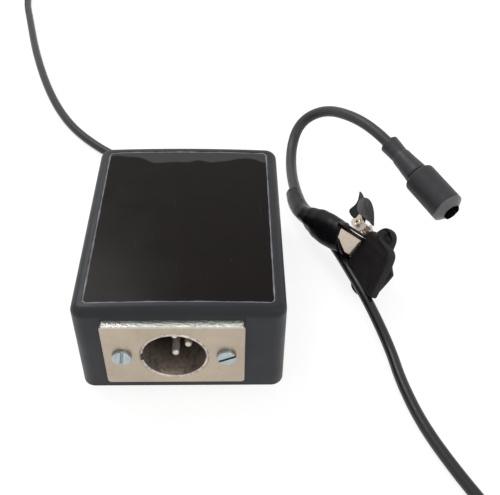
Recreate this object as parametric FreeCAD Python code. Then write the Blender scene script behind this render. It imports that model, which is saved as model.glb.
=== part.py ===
import FreeCAD, Part
import math
import os

# Lavalier microphone: a powering module with a rotated three-pin socket, one thin cable, and a
# microphone capsule on a bendable neck, held by a sprung clip with rubber sleeves.
# Millimetres. Origin: centre of the module's underside. +Z up, the socket faces -Y.

V = FreeCAD.Vector
UP = V(0, 0, 1)

# ---- powering module -------------------------------------------------------------------------
case_width = 64.5
case_depth = 80.0
case_height = 36.5            # to the top of the crowned lid
case_wall = 2.4
case_roof = 3.0
case_corner_radius = 4.1
case_edge_radius = 2.9
case_crown = 0.8              # how far the lid's middle stands above its long edges
case_lean = 0.32              # draft of each long side
base_thickness = 2.6
panel_gap = 0.15              # around the base plate and the label
label_margin = 3.4
label_corner_radius = 2.0
label_recess = 0.75
label_thickness = 0.4
post_radius = 3.4             # screw posts in the case's corners
post_overlap = 0.68           # how far a post runs into the walls
case_screw_radius = 1.45
case_screw_length = 11.0
case_screw_head_radius = 2.7
case_screw_sink = 0.2         # head below the underside
countersink_share = 0.7       # of the base plate's thickness
screw_end_gap = 1.0           # screw tip to the bottom of its hole
thread_gap = 0.05             # radial, screw thread to its hole
screw_gap = 0.25              # radial, screw shank to a clearance hole
slot_width = 0.9
slot_depth = 0.7
screw_edge_share = 0.3        # rounding of a cheese head, of its height
overcut = 1.0                 # how far a cutting shape runs past what it cuts
touch = 0.01                  # tolerance when picking edges by their place
bend_share = 0.45             # of the shorter run beside it, taken by a tube's bend

# ---- socket and its faceplate ----------------------------------------------------------------
socket_x = -1.83
socket_z = 18.7
plate_width = 42.7
plate_height = 26.7
plate_thickness = 2.7
plate_corner_radius = 1.0
plate_chamfer = 0.35
plate_screw_spacing = 31.6
plate_screw_radius = 1.45
plate_screw_head_radius = 3.0
plate_screw_head_height = 1.3
plate_screw_length = 9.0
plate_screw_slot_angles = (82.0, 25.0)
boss_radius = 3.2
boss_length = 5.5
socket_bore_radius = 9.6
socket_shell_wall = 0.9
socket_lip = 0.3              # how far the shell stands out of the plate
socket_lip_chamfer = 0.315
socket_depth = 16.0           # plate face to insulator face
socket_flange_radius = 12.2
socket_flange_thickness = 1.5
socket_fit = 0.05             # radial, shell to plate and insulator to shell
socket_wall_gap = 0.4         # radial, shell to the case wall
key_width = 3.2
key_depth = 0.6
insulator_thickness = 6.5
pin_radius = 1.18
pin_tip_round = 1.003
pin_circle_radius = 4.1
pin_tip_below_plate = 4.0
pin_tail_length = 5.0
pin_tail_radius = 1.0
pin_angles = (90.0, 270.0, 0.0)

# ---- circuit board ---------------------------------------------------------------------------
board_width = 46.0
board_front = -11.0
board_back = 29.0
board_thickness = 1.6
board_bottom = 6.6
board_corner_radius = 1.5
board_screw_inset = 3.6
board_screw_radius = 1.1
board_screw_head_radius = 2.1
board_screw_head_height = 1.4
board_screw_length = 5.0
board_screw_end_gap = 0.5
board_screw_turn = 30.0       # degrees from one slot to the next
standoff_radius = 2.6
small_cap_radius = 4.0
small_cap_height = 11.5
small_cap_x = -13.0
small_cap_insets = (15.0, 26.0)          # from the board's front edge
large_cap_radius = 5.0
large_cap_height = 13.0
large_cap_x = 1.0
large_cap_inset = 18.0
can_edge_share = 0.12         # rounding of a can's top, of its radius
can_groove_share = 0.16       # height of the rolled groove, of the can's
can_groove_radius = 0.6
can_groove_depth = 0.25
transistor_radius = 2.4
transistor_height = 4.6
transistor_flat = 1.32        # its flat face, from its middle
transistor_pitch = 1.27
transistor_x = 4.0
transistor_inset = 6.5
leg_radius = 0.3
resistor_leg_reach = 1.2
leg_lift = 1.2                # board to the underside of a leaded part
resistor_radius = 1.2
resistor_length = 6.2
resistor_pitch = 4.4
resistor_count = 4
resistor_x = 12.5
resistor_inset = 12.0
resistor_end_share = 1.06     # radius of its rounded ends, of half its length
socket_wire_radius = 0.6
wire_pad_pitch = 5.0
wire_pad_inset = 3.0
wire_run_out = 3.0            # straight behind each contact
wire_drop = 4.0               # straight above each pad

# ---- cable -----------------------------------------------------------------------------------
cable_radius = 1.9
cable_lift = 0.05             # the cable's underside above the table
cable_fit = 0.05              # radial, cable to grommet
gland_x = 0.0
gland_z = 14.0
gland_length = 6.0            # outside the rear wall
gland_collar_radius = 5.0
gland_collar_thickness = 1.6
gland_neck_radius = 3.4
gland_mouth_radius = 2.8
cable_tie_radius = 3.3
cable_tie_width = 2.5
cable_tie_head = 3.6
cable_tie_head_height = 2.16
cable_tie_gap = 1.0           # to the grommet's inner collar
terminal_width = 10.0
terminal_depth = 7.0
terminal_above_cable = 3.5
terminal_inset = 1.0          # from the board's rear edge
terminal_screw_radius = 1.6
terminal_screw_depth = 1.2
coil_x = -127.0
coil_y = 258.0
coil_centre = V(coil_x, coil_y, 0)
coil_radius = 19.0            # at the middle of the turns
coil_half_width = 5.8
coil_height = 7.7
coil_edge_radius = 1.52

# ---- clip ------------------------------------------------------------------------------------
pivot_x = 63.1
pivot_y = 14.2
pivot_z = 14.2
clip_pivot = V(pivot_x, pivot_y, pivot_z)
clip_heading = -75.0          # of the jaws, about +Z
clip_roll = 58.0              # about the jaws' own direction
sheet = 0.8                   # thickness of the clip's sheet metal
mitre_limit = 0.3             # how far a sharp bend's corner may reach
jaw_length = 19.0
jaw_width = 8.4
jaw_gap_at_pivot = 2.6        # pivot centre to a jaw's mid-plane
jaw_gap_at_tip = 1.4
fixed_bend = 3.2              # where the fixed half's lever leaves its jaw, from the pivot
fixed_lever_angle = 62.0      # from the line of the jaws
fixed_lever_length = 8.6
free_bend = -1.0
free_lever_angle = 20.0
free_lever_length = 17.0
free_lever_width = 4.6
ear_radius = 1.9
ear_front = 2.4               # where a lug meets the jaw, from the pivot
ear_back = 3.4                # where it meets the lever, from the bend
ear_gap = 0.3
cross_front = 1.6             # how far the wide part of the sheet runs along the jaw
fixed_span = 9.0              # across the lugs
free_span = fixed_span + 2 * (sheet + ear_gap)
metal_shift = -1.7            # middle of the metal, across the jaws
pin_end_play = 0.1
pin_rod_radius = 1.0
pin_rod_fit = 0.05
pin_head_radius = 1.7
pin_head_height = 0.5
spring_wire_radius = 0.4
spring_coil_radius = 1.75     # wire centre
spring_turns = 3
spring_pitch = 1.1
spring_link_half = 0.28       # half thickness of the bar that ties the turns
sleeve_start = 2.5            # from the pivot along the jaw
sleeve_thickness = 3.0
sleeve_corner_radius = 1.2
sleeve_edge_radius = 0.9
sleeve_gap = 0.15             # each sleeve to the plane where the jaws meet
# Outlines seen square on: along the jaw from the pivot, then across it.
fixed_sleeve_outline = [
    (4.9, -6.8), (25.0, -6.6), (20.8, 8.0), (14.5, 8.9), (10.5, 8.7), (4.6, 7.1), (3.1, 4.8),
]
free_sleeve_outline = [
    (3.1, -6.8), (7.2, -12.8), (10.6, -14.6), (15.0, -13.9), (18.0, -11.4), (22.4, -6.4),
    (20.6, 5.4), (14.2, 7.6), (10.6, 11.2), (7.2, 11.4), (4.1, 8.8), (3.1, 5.8),
]
# The leaf on the free lever: along the lever from its bend, then across it.
leaf_outline = [
    (2.2, 4.4), (8.5, 6.8), (13.6, 7.3), (20.5, 6.0), (25.6, 4.0), (31.0, 2.4), (30.0, -1.6),
    (27.0, -4.8), (21.6, -4.6), (12.5, -4.2), (7.0, -3.8), (5.0, 0.5),
]
leaf_thickness = 1.0
leaf_corner_radius = 0.7
leaf_wall = 0.8               # rubber round the end of the lever
socket_start = 6.0

# ---- neck and microphone head ----------------------------------------------------------------
neck_radius = 2.25
neck_ball_gap = 0.06          # radial, ball inside the neck's own skin
neck_joint_gap = 0.1          # radial, ball to cup
neck_ball_radius = neck_radius - neck_ball_gap
neck_route = [
    V(44.4, 29.5, 10.8),
    V(41.1, 52.0, 4.8),
    V(41.2, 79.0, 4.6),
    V(45.6, 90.4, 12.6),
    V(56.0, 89.0, 20.4),
    V(66.6, 76.0, 25.4),
    V(75.6, 62.8, 25.8),
]
head_setback = 6.0            # last corner of the neck to the start of the head
neck_joint_shares = (0.42, 0.5, 0.5)     # where each joint lies along its run
neck_joint_runs = (1, 4, 5)              # the runs of the route that hold the joints
head_axis = V(0.49, -0.85, -0.18)
neck_in_head = 12.0
neck_sleeve_length = 7.3
neck_sleeve_radius = 3.9
neck_sleeve_end_radius = 3.45
boot_length = 11.1
boot_start_radius = 3.7
boot_end_radius = 4.6
boot_start_chamfer = 0.4
boot_end_chamfer = 0.5
boot_chamfer_length = 0.6
boot_spigot_radius = 3.0
boot_spigot_length = 2.6
housing_gap = 0.4             # boot to housing, the dark line between them
housing_length = 17.6
housing_radius = 6.3
housing_wall = 0.9
housing_rear_wall = 1.6
housing_edge_radius = 1.3
front_ring_length = 2.4
front_ring_rim = 0.5
front_ring_lip = 0.35
front_ring_shoulder = 0.45    # radius of the shoulder's rounding
front_ring_spigot = 1.5
front_ring_opening = 3.1
capsule_radius = 4.85
capsule_length = 6.7
capsule_port_radius = 1.0
capsule_port_depth = 0.6
holder_length = 5.0
screen_thickness = 0.5
screen_recess = 0.3
small_gap = 0.05

# ---- shrink tube that binds the neck, the lever and the cable ----------------------------------
# Each station: centre, half width, half thickness.
shrink_stations = [
    (V(56.2, 12.4, 16.2), 6.0, 3.8),
    (V(51.8, 15.6, 15.4), 6.0, 4.2),
    (V(47.0, 21.4, 13.8), 4.9, 4.2),
    (V(43.8, 31.2, 10.4), 4.0, 3.8),
    (V(41.8, 40.2, 7.4), 3.5, 3.5),
    (V(41.1, 46.8, 5.9), 3.3, 3.3),
]

# ---- the cable's route, chosen by hand ---------------------------------------------------------
cable_z = cable_radius + cable_lift
case_side_route = [
    V(gland_x, case_depth / 2 + gland_length, gland_z),
    V(gland_x, 53.0, gland_z),
    V(-2.4, 60.5, 11.6),
    V(-8.5, 66.5, 7.6),
    V(-18.0, 70.8, 3.4),
    V(-31.0, 76.0, cable_z),
    V(-45.5, 87.5, cable_z),
    V(-59.5, 104.0, cable_z),
    V(-72.5, 129.5, cable_z),
    V(-86.0, 167.0, cable_z),
    V(-96.0, 203.0, cable_z),
    V(-103.0, 228.0, cable_z),
    V(-105.2, 247.0, cable_z),
]
mic_side_route = [
    V(50.0, 22.2, 10.6),
    V(53.3, 17.6, 8.3),
    V(56.2, 11.4, 7.1),
    V(59.6, 0.4, 7.3),
    V(62.5, -8.4, 7.0),
    V(65.8, -17.0, 4.3),
    V(69.0, -28.0, cable_z),
    V(70.4, -41.0, cable_z),
    V(74.2, -56.6, cable_z),
    V(81.2, -72.5, cable_z),
    V(88.6, -86.0, cable_z),
    V(90.4, -99.5, cable_z),
    V(81.0, -109.5, cable_z),
    V(63.0, -112.0, cable_z),
    V(36.0, -107.0, cable_z),
    V(5.0, -108.5, cable_z),
    V(-28.0, -103.0, cable_z),
    V(-52.0, -88.0, cable_z),
    V(-68.0, -60.0, cable_z),
    V(-78.5, -22.0, cable_z),
    V(-87.0, 20.0, cable_z),
    V(-99.5, 62.0, cable_z),
    V(-106.0, 108.0, cable_z),
    V(-117.0, 152.0, cable_z),
    V(-127.5, 190.0, cable_z),
    V(-136.0, 222.0, cable_z),
    V(-143.5, 246.0, cable_z),
]


# ---- helpers -----------------------------------------------------------------------------------
def save(node, shape):
    """Write one sub-part, as cleaned solids, to its own file."""
    solids = shape.Solids
    result = solids[0] if len(solids) == 1 else Part.makeCompound(solids)
    result.exportStep("parts/" + node + ".step")
    print("%-22s %2d solid(s) %9.1f mm3" % (node, len(solids), result.Volume))


def cylinder(radius, start, end):
    return Part.makeCylinder(radius, (end - start).Length, start, end - start)


def cone(radius_start, radius_end, start, end):
    return Part.makeCone(radius_start, radius_end, (end - start).Length, start, end - start)


def box(low, high):
    size = high - low
    return Part.makeBox(size.x, size.y, size.z, low)


def prism(corners, height):
    """Extrude a closed outline of points by the vector height."""
    return Part.Face(Part.makePolygon(list(corners) + [corners[0]])).extrude(height)


def fillet_along(shape, direction, radius):
    """Round every straight edge that runs along one direction."""
    edges = [edge for edge in shape.Edges if runs_along(edge, direction)]
    return shape.makeFillet(radius, edges)


def runs_along(edge, direction):
    ends = [vertex.Point for vertex in edge.Vertexes]
    if len(ends) < 2:
        return False
    line = ends[1] - ends[0]
    return line.Length > 0.1 and abs(line.dot(direction)) > 0.98 * line.Length * direction.Length


def edges_above(shape, height):
    return [edge for edge in shape.Edges if edge.BoundBox.ZMin > height]


def rounded_slab(width, depth, bottom, top, radius, centre_x=0.0, centre_y=0.0):
    slab = box(V(centre_x - width / 2, centre_y - depth / 2, bottom),
               V(centre_x + width / 2, centre_y + depth / 2, top))
    return fillet_along(slab, UP, radius)


def turned(profile, start, axis):
    """A solid of revolution. The profile is (radius, distance) points along axis from start."""
    outline = [V(radius, 0, distance) for radius, distance in profile]
    face = Part.Face(Part.makePolygon(outline + [outline[0]]))
    solid = face.revolve(V(0, 0, 0), UP, 360)
    return placed(solid, start, FreeCAD.Rotation(UP, axis))


def placed(shape, position, rotation):
    copy = shape.copy()
    copy.Placement = FreeCAD.Placement(position, rotation).multiply(shape.Placement)
    return copy


def between(start, end, share):
    return start + (end - start) * share


def unit(vector):
    return V(vector) * (1.0 / vector.Length)


def tube(points, radius, name=""):
    """A round tube along straight runs joined by tangent arcs."""
    edges = []
    start = points[0]
    radii = []
    for before, corner, after in zip(points, points[1:], points[2:]):
        arriving = unit(corner - before)
        leaving = unit(after - corner)
        half_turn = arriving.getAngle(leaving) / 2
        reach = bend_share * min((corner - before).Length, (after - corner).Length)
        arc_start = corner - arriving * reach
        arc_end = corner + leaving * reach
        arc_radius = reach / math.tan(half_turn)
        inward = unit(leaving - arriving)
        arc_middle = corner + inward * (arc_radius / math.cos(half_turn) - arc_radius)
        edges.append(Part.LineSegment(start, arc_start).toShape())
        edges.append(Part.Arc(arc_start, arc_middle, arc_end).toShape())
        radii.append(arc_radius)
        start = arc_end
    edges.append(Part.LineSegment(start, points[-1]).toShape())
    path = Part.Wire(edges)
    section = Part.Wire(Part.makeCircle(radius, points[0], points[1] - points[0]))
    solid = path.makePipeShell([section], True, False)
    expected = math.pi * radius ** 2 * path.Length
    if name:
        print("%-22s length %.1f, radii %s, volume/expected %.4f" % (
            name, path.Length, " ".join("%.0f" % value for value in radii), solid.Volume / expected))
    return solid, path.Length


def slotted_screw(head_top, axis, head_radius, head_height, shank_radius, length, slot_angle):
    """A cheese-head screw: axis points from the head into the work."""
    head = cylinder(head_radius, V(0, 0, 0), V(0, 0, -head_height))
    top_edge = [edge for edge in head.Edges if edge.BoundBox.ZMin > -touch]
    head = head.makeFillet(head_height * screw_edge_share, top_edge)
    slot = box(V(-head_radius, -slot_width / 2, -slot_depth), V(head_radius, slot_width / 2, overcut))
    slot.rotate(V(0, 0, 0), UP, slot_angle)
    shank = cylinder(shank_radius, V(0, 0, -head_height), V(0, 0, -head_height - length))
    screw = head.cut(slot).fuse(shank)
    return placed(screw, head_top, FreeCAD.Rotation(UP, axis * -1))


# ---- case --------------------------------------------------------------------------------------
def case_form(half_width, half_depth, top, lean):
    """The module's outline: leaning sides under a crowned top, square edges."""
    shoulder = top - case_crown
    left_foot = V(-half_width, -half_depth, 0)
    right_foot = V(half_width, -half_depth, 0)
    right_top = V(half_width - lean, -half_depth, shoulder)
    left_top = V(-half_width + lean, -half_depth, shoulder)
    crown = Part.Arc(right_top, V(0, -half_depth, top), left_top).toShape()
    outline = Part.Wire([
        Part.makeLine(left_foot, right_foot),
        Part.makeLine(right_foot, right_top),
        crown,
        Part.makeLine(left_top, left_foot),
    ])
    return Part.Face(outline).extrude(V(0, 2 * half_depth, 0))


def case_outer():
    solid = case_form(case_width / 2, case_depth / 2, case_height, case_lean)
    solid = fillet_along(solid, UP, case_corner_radius)
    return solid.makeFillet(case_edge_radius, edges_above(solid, case_height - case_crown - overcut))


def case_cavity():
    solid = case_form(case_width / 2 - case_wall, case_depth / 2 - case_wall,
                      case_height - case_roof, case_lean)
    return fillet_along(solid, UP, case_corner_radius - case_wall)


def corner_positions(half_x, half_y):
    return [(side * half_x, end * half_y) for side in (-1, 1) for end in (-1, 1)]


post_inset = case_wall + post_radius - post_overlap
post_positions = corner_positions(case_width / 2 - post_inset, case_depth / 2 - post_inset)
case_front = -case_depth / 2
plate_front = case_front - plate_thickness
plate_screw_positions = [socket_x - plate_screw_spacing / 2, socket_x + plate_screw_spacing / 2]
socket_outer_radius = socket_bore_radius + socket_shell_wall
label_width = case_width - 2 * case_lean - 2 * label_margin
label_depth = case_depth - 2 * label_margin


def label_block(width, depth, from_top, to_top):
    """The part of a rounded slab that lies between two crowned surfaces."""
    slab = rounded_slab(width, depth, case_height / 2, case_height + overcut, label_corner_radius)
    lower = case_form(case_width / 2, case_depth / 2, case_height - from_top, case_lean)
    slab = slab.cut(lower)
    if to_top > 0:
        upper = case_form(case_width / 2, case_depth / 2, case_height - to_top, case_lean)
        slab = slab.common(upper)
    return slab


def make_case_shell():
    shell = case_outer().cut(case_cavity())
    posts = []
    for x, y in post_positions:
        posts.append(cylinder(post_radius, V(x, y, base_thickness), V(x, y, case_height - case_roof)))
    for x in plate_screw_positions:
        posts.append(cylinder(boss_radius, V(x, case_front + case_wall / 2, socket_z),
                              V(x, case_front + case_wall + boss_length, socket_z)))
    shell = shell.fuse(posts).common(case_outer())
    holes = []
    for x, y in post_positions:
        holes.append(cylinder(case_screw_radius + thread_gap, V(x, y, 0),
                              V(x, y, case_screw_length + base_thickness)))
    for x in plate_screw_positions:
        holes.append(cylinder(plate_screw_radius + thread_gap, V(x, case_front - overcut, socket_z),
                              V(x, case_front + case_wall + boss_length - screw_end_gap, socket_z)))
    holes.append(cylinder(socket_outer_radius + socket_wall_gap,
                          V(socket_x, case_front - overcut, socket_z),
                          V(socket_x, case_front + case_wall + overcut, socket_z)))
    holes.append(cylinder(gland_neck_radius + small_gap,
                          V(gland_x, -case_front - case_wall - overcut, gland_z),
                          V(gland_x, -case_front + overcut, gland_z)))
    holes.append(label_block(label_width, label_depth, label_recess, 0))
    return shell.cut(holes).removeSplitter()


def make_label():
    return label_block(label_width - 2 * panel_gap, label_depth - 2 * panel_gap,
                       label_recess, label_recess - label_thickness)


def make_case_base():
    inset = case_wall + panel_gap
    plate = rounded_slab(case_width - 2 * inset, case_depth - 2 * inset, 0, base_thickness,
                         case_corner_radius - case_wall)
    standoffs = [cylinder(standoff_radius, V(x, y, base_thickness), V(x, y, board_bottom))
                 for x, y in board_screw_positions]
    plate = plate.fuse(standoffs)
    holes = []
    for x, y in post_positions:
        holes.append(cylinder(case_screw_radius + screw_gap, V(x, y, 0), V(x, y, base_thickness)))
        holes.append(cone(case_screw_head_radius + screw_gap, case_screw_radius + screw_gap,
                          V(x, y, 0), V(x, y, base_thickness * countersink_share)))
    for x, y in board_screw_positions:
        holes.append(cylinder(board_screw_radius + thread_gap,
                              V(x, y, board_bottom - board_screw_length), V(x, y, board_bottom)))
    return plate.cut(holes)


def make_case_screws():
    """Countersunk screws, driven up through the base plate into the corner posts."""
    screws = []
    for x, y in post_positions:
        head = cone(case_screw_head_radius, case_screw_radius, V(x, y, case_screw_sink),
                    V(x, y, case_screw_sink + base_thickness * countersink_share))
        shank = cylinder(case_screw_radius, V(x, y, case_screw_sink + base_thickness / 2),
                         V(x, y, case_screw_length + base_thickness - screw_end_gap))
        slot = box(V(x - case_screw_head_radius, y - slot_width / 2, 0),
                   V(x + case_screw_head_radius, y + slot_width / 2, case_screw_sink + slot_depth))
        screws.append(head.fuse(shank).cut(slot))
    return Part.makeCompound(screws)


# ---- socket ------------------------------------------------------------------------------------
def along_socket(depth, x=0.0, z=0.0):
    """A point at a depth behind the faceplate's front, offset from the socket's axis."""
    return V(socket_x + x, plate_front + depth, socket_z + z)


def make_faceplate():
    low = V(socket_x - plate_width / 2, plate_front, socket_z - plate_height / 2)
    high = V(socket_x + plate_width / 2, case_front, socket_z + plate_height / 2)
    plate = fillet_along(box(low, high), V(0, 1, 0), plate_corner_radius)
    front_edges = [edge for edge in plate.Edges if edge.BoundBox.YMax < plate_front + touch]
    plate = plate.makeChamfer(plate_chamfer, front_edges)
    plate = plate.cut(cylinder(socket_outer_radius + socket_fit, along_socket(-overcut),
                               along_socket(plate_thickness + overcut)))
    for x in plate_screw_positions:
        plate = plate.cut(cylinder(plate_screw_radius + screw_gap,
                                   V(x, plate_front - overcut, socket_z),
                                   V(x, case_front + overcut, socket_z)))
    return plate


def make_faceplate_screws():
    screws = []
    for x, angle in zip(plate_screw_positions, plate_screw_slot_angles):
        head_top = V(x, plate_front - plate_screw_head_height, socket_z)
        screws.append(slotted_screw(head_top, V(0, 1, 0), plate_screw_head_radius,
                                    plate_screw_head_height, plate_screw_radius,
                                    plate_screw_length - plate_screw_head_height, angle))
    return Part.makeCompound(screws)


def make_socket_shell():
    rear = socket_depth + insulator_thickness
    shell = cylinder(socket_outer_radius, along_socket(-socket_lip), along_socket(rear))
    flange_start = plate_thickness + case_wall
    shell = shell.fuse(cylinder(socket_flange_radius, along_socket(flange_start),
                                along_socket(flange_start + socket_flange_thickness)))
    shell = shell.cut(cylinder(socket_bore_radius, along_socket(-overcut), along_socket(rear + overcut)))
    lip_edges = [edge for edge in shell.Edges if edge.BoundBox.YMax < plate_front - socket_lip + touch]
    shell = shell.makeChamfer(socket_lip_chamfer, lip_edges)
    key = box(along_socket(-overcut, -socket_bore_radius - key_depth, -key_width / 2),
              along_socket(socket_depth, -socket_bore_radius + key_width / 2, key_width / 2))
    return shell.cut(key)


def pin_offset(angle):
    turn = math.radians(angle)
    return pin_circle_radius * math.cos(turn), pin_circle_radius * math.sin(turn)


def make_insulator():
    disc = cylinder(socket_bore_radius - socket_fit, along_socket(socket_depth),
                    along_socket(socket_depth + insulator_thickness))
    for angle in pin_angles:
        x, z = pin_offset(angle)
        disc = disc.cut(cylinder(pin_radius, along_socket(socket_depth - overcut, x, z),
                                 along_socket(socket_depth + insulator_thickness + overcut, x, z)))
    return disc


def make_pin(angle):
    x, z = pin_offset(angle)
    rear = socket_depth + insulator_thickness
    pin = cylinder(pin_radius, along_socket(pin_tip_below_plate, x, z), along_socket(rear, x, z))
    tip_edges = [edge for edge in pin.Edges
                 if edge.BoundBox.YMax < plate_front + pin_tip_below_plate + touch]
    pin = pin.makeFillet(pin_tip_round, tip_edges)
    tail = cylinder(pin_tail_radius, along_socket(rear - overcut, x, z),
                    along_socket(rear + pin_tail_length, x, z))
    return pin.fuse(tail)


# ---- circuit board -----------------------------------------------------------------------------
board_top = board_bottom + board_thickness
board_middle_y = (board_front + board_back) / 2
board_screw_positions = [(x, board_middle_y + y) for x, y in corner_positions(
    board_width / 2 - board_screw_inset, (board_back - board_front) / 2 - board_screw_inset)]


def make_board():
    board = rounded_slab(board_width, board_back - board_front, board_bottom, board_top,
                         board_corner_radius, 0, board_middle_y)
    for x, y in board_screw_positions:
        board = board.cut(cylinder(board_screw_radius + screw_gap, V(x, y, board_bottom - overcut),
                                   V(x, y, board_top + overcut)))
    return board


def make_board_screws():
    head_top = board_top + board_screw_head_height
    length = board_screw_length - board_screw_end_gap + board_thickness
    return Part.makeCompound([
        slotted_screw(V(x, y, head_top), V(0, 0, -1), board_screw_head_radius,
                      board_screw_head_height, board_screw_radius, length, board_screw_turn * number)
        for number, (x, y) in enumerate(board_screw_positions)])


def electrolytic(x, y, radius, height):
    """A round can with a rolled groove near its foot."""
    can = cylinder(radius, V(x, y, board_top), V(x, y, board_top + height))
    can = can.makeFillet(radius * can_edge_share, edges_above(can, board_top + height - touch))
    groove = Part.makeTorus(radius + can_groove_radius - can_groove_depth, can_groove_radius,
                            V(x, y, board_top + height * can_groove_share))
    return can.cut(groove)


def make_transistor():
    x = transistor_x
    y = board_front + transistor_inset
    half = transistor_radius + overcut
    body = cylinder(transistor_radius, V(x, y, board_top + leg_lift),
                    V(x, y, board_top + leg_lift + transistor_height))
    body = body.cut(box(V(x - half, y - half, board_top), V(x + half, y - transistor_flat, case_height)))
    legs = [cylinder(leg_radius, V(x + shift, y, board_top), V(x + shift, y, board_top + leg_lift))
            for shift in (-transistor_pitch, 0, transistor_pitch)]
    return body.fuse(legs)


def make_resistors():
    """Axial resistors in a row, each on two bent legs."""
    resistors = []
    x = resistor_x
    z = board_top + leg_lift + resistor_radius
    half = resistor_length / 2
    for number in range(resistor_count):
        y = board_front + resistor_inset + number * resistor_pitch
        body = cylinder(resistor_radius, V(x - half, y, z), V(x + half, y, z))
        body = body.common(Part.makeSphere(half * resistor_end_share, V(x, y, z)))
        foot = half + resistor_leg_reach
        wire, _ = tube([V(x - foot, y, board_top), V(x - foot, y, z), V(x + foot, y, z),
                        V(x + foot, y, board_top)], leg_radius)
        resistors.append(body.fuse(wire))
    return Part.makeCompound(resistors)


def make_socket_wires():
    """One thin wire from each contact's tail down to the board's front edge."""
    wires = []
    rear = plate_front + socket_depth + insulator_thickness + pin_tail_length
    for number, angle in enumerate(pin_angles):
        x, z = pin_offset(angle)
        start = V(socket_x + x, rear, socket_z + z)
        pad = V(socket_x + (number - 1) * wire_pad_pitch, board_front + wire_pad_inset, board_top)
        wire, _ = tube([start, start + V(0, wire_run_out, 0), pad + UP * wire_drop, pad],
                       socket_wire_radius)
        wires.append(wire)
    return Part.makeCompound(wires)


# ---- cable entry -------------------------------------------------------------------------------
rear_face = case_depth / 2
terminal_back = board_back - terminal_inset


def make_grommet():
    inner_collar = case_wall + gland_collar_thickness
    bore = cable_radius + cable_fit
    profile = [
        (bore, -inner_collar),
        (gland_collar_radius, -inner_collar),
        (gland_collar_radius, -case_wall),
        (gland_neck_radius, -case_wall),
        (gland_neck_radius, 0),
        (gland_collar_radius, 0),
        (gland_collar_radius, gland_collar_thickness),
        (gland_neck_radius, gland_collar_thickness),
        (gland_mouth_radius, gland_length),
        (bore, gland_length),
    ]
    return turned(profile, V(gland_x, rear_face, gland_z), V(0, 1, 0))


def make_inner_lead():
    return cylinder(cable_radius, V(gland_x, terminal_back, gland_z),
                    V(gland_x, rear_face + gland_length, gland_z))


def make_cable_tie():
    y = rear_face - case_wall - gland_collar_thickness - cable_tie_gap
    ring = cylinder(cable_tie_radius, V(gland_x, y - cable_tie_width, gland_z), V(gland_x, y, gland_z))
    head = box(V(gland_x - cable_tie_head / 2, y - cable_tie_width, gland_z + cable_radius),
               V(gland_x + cable_tie_head / 2, y, gland_z + cable_tie_radius + cable_tie_head_height))
    bore = cylinder(cable_radius, V(gland_x, y - cable_tie_width - overcut, gland_z),
                    V(gland_x, y + overcut, gland_z))
    return ring.fuse(head).cut(bore)


def make_terminal():
    block = box(V(gland_x - terminal_width / 2, terminal_back - terminal_depth, board_top),
                V(gland_x + terminal_width / 2, terminal_back, gland_z + terminal_above_cable))
    top = gland_z + terminal_above_cable
    y = terminal_back - terminal_depth / 2
    for side in (-1, 1):
        x = gland_x + side * terminal_width / 4
        block = block.cut(cylinder(terminal_screw_radius, V(x, y, top - terminal_screw_depth),
                                   V(x, y, top + overcut)))
    return block


# ---- cable -------------------------------------------------------------------------------------
def make_coil():
    """The outer shape of the put-away turns: a flat ring with rounded corners."""
    inner = coil_radius - coil_half_width
    outer = coil_radius + coil_half_width
    low = cable_lift
    high = cable_lift + coil_height
    ring = cylinder(outer, coil_centre + UP * low, coil_centre + UP * high)
    ring = ring.cut(cylinder(inner, coil_centre, coil_centre + UP * (high + overcut)))
    return ring.makeFillet(coil_edge_radius, [edge for edge in ring.Edges if len(edge.Vertexes) == 1])


def largest(shape):
    return max(shape.Solids, key=lambda solid: solid.Volume)


# ---- clip, made about its own pivot ------------------------------------------------------------
# Local frame: X along the jaws, Y along the pivot pin, Z from the free half to the fixed half.
clip_rotation = FreeCAD.Rotation(UP, clip_heading).multiply(FreeCAD.Rotation(V(1, 0, 0), clip_roll))


def in_clip(shape):
    return placed(shape, clip_pivot, clip_rotation)


def bent_sheet(points, width):
    """A strip of sheet metal: its mid-line is bent in the XZ plane, its width runs along Y."""
    left = []
    right = []
    for number, point in enumerate(points):
        arriving = unit(point - points[max(number - 1, 0)]) if number > 0 else None
        leaving = unit(points[number + 1] - point) if number < len(points) - 1 else arriving
        if arriving is None:
            arriving = leaving
        along = unit(arriving + leaving)
        normal = V(-along.z, 0, along.x)
        reach = sheet / 2 / max(mitre_limit, along.dot(leaving))
        left.append(point + normal * reach)
        right.insert(0, point - normal * reach)
    outline = [V(p.x, -width / 2, p.z) for p in left + right]
    return prism(outline, V(0, width, 0))


def lever_direction(side, angle):
    turn = math.radians(angle)
    return V(-math.cos(turn), 0, side * math.sin(turn))


def lever_root(side, bend):
    return V(bend, 0, side * jaw_gap_at_pivot)


def lug(side, bend, angle, near, far):
    """A round-nosed lug from the pivot pin up to the sheet."""
    nose = cylinder(ear_radius, V(0, near, 0), V(0, far, 0))
    root = lever_root(side, bend)
    back = root + lever_direction(side, angle) * ear_back
    web = prism([V(-ear_radius, near, 0), V(ear_radius, near, 0),
                 V(max(bend, ear_front), near, root.z), V(back.x, near, back.z)],
                V(0, far - near, 0))
    return nose.fuse(web)


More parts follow.
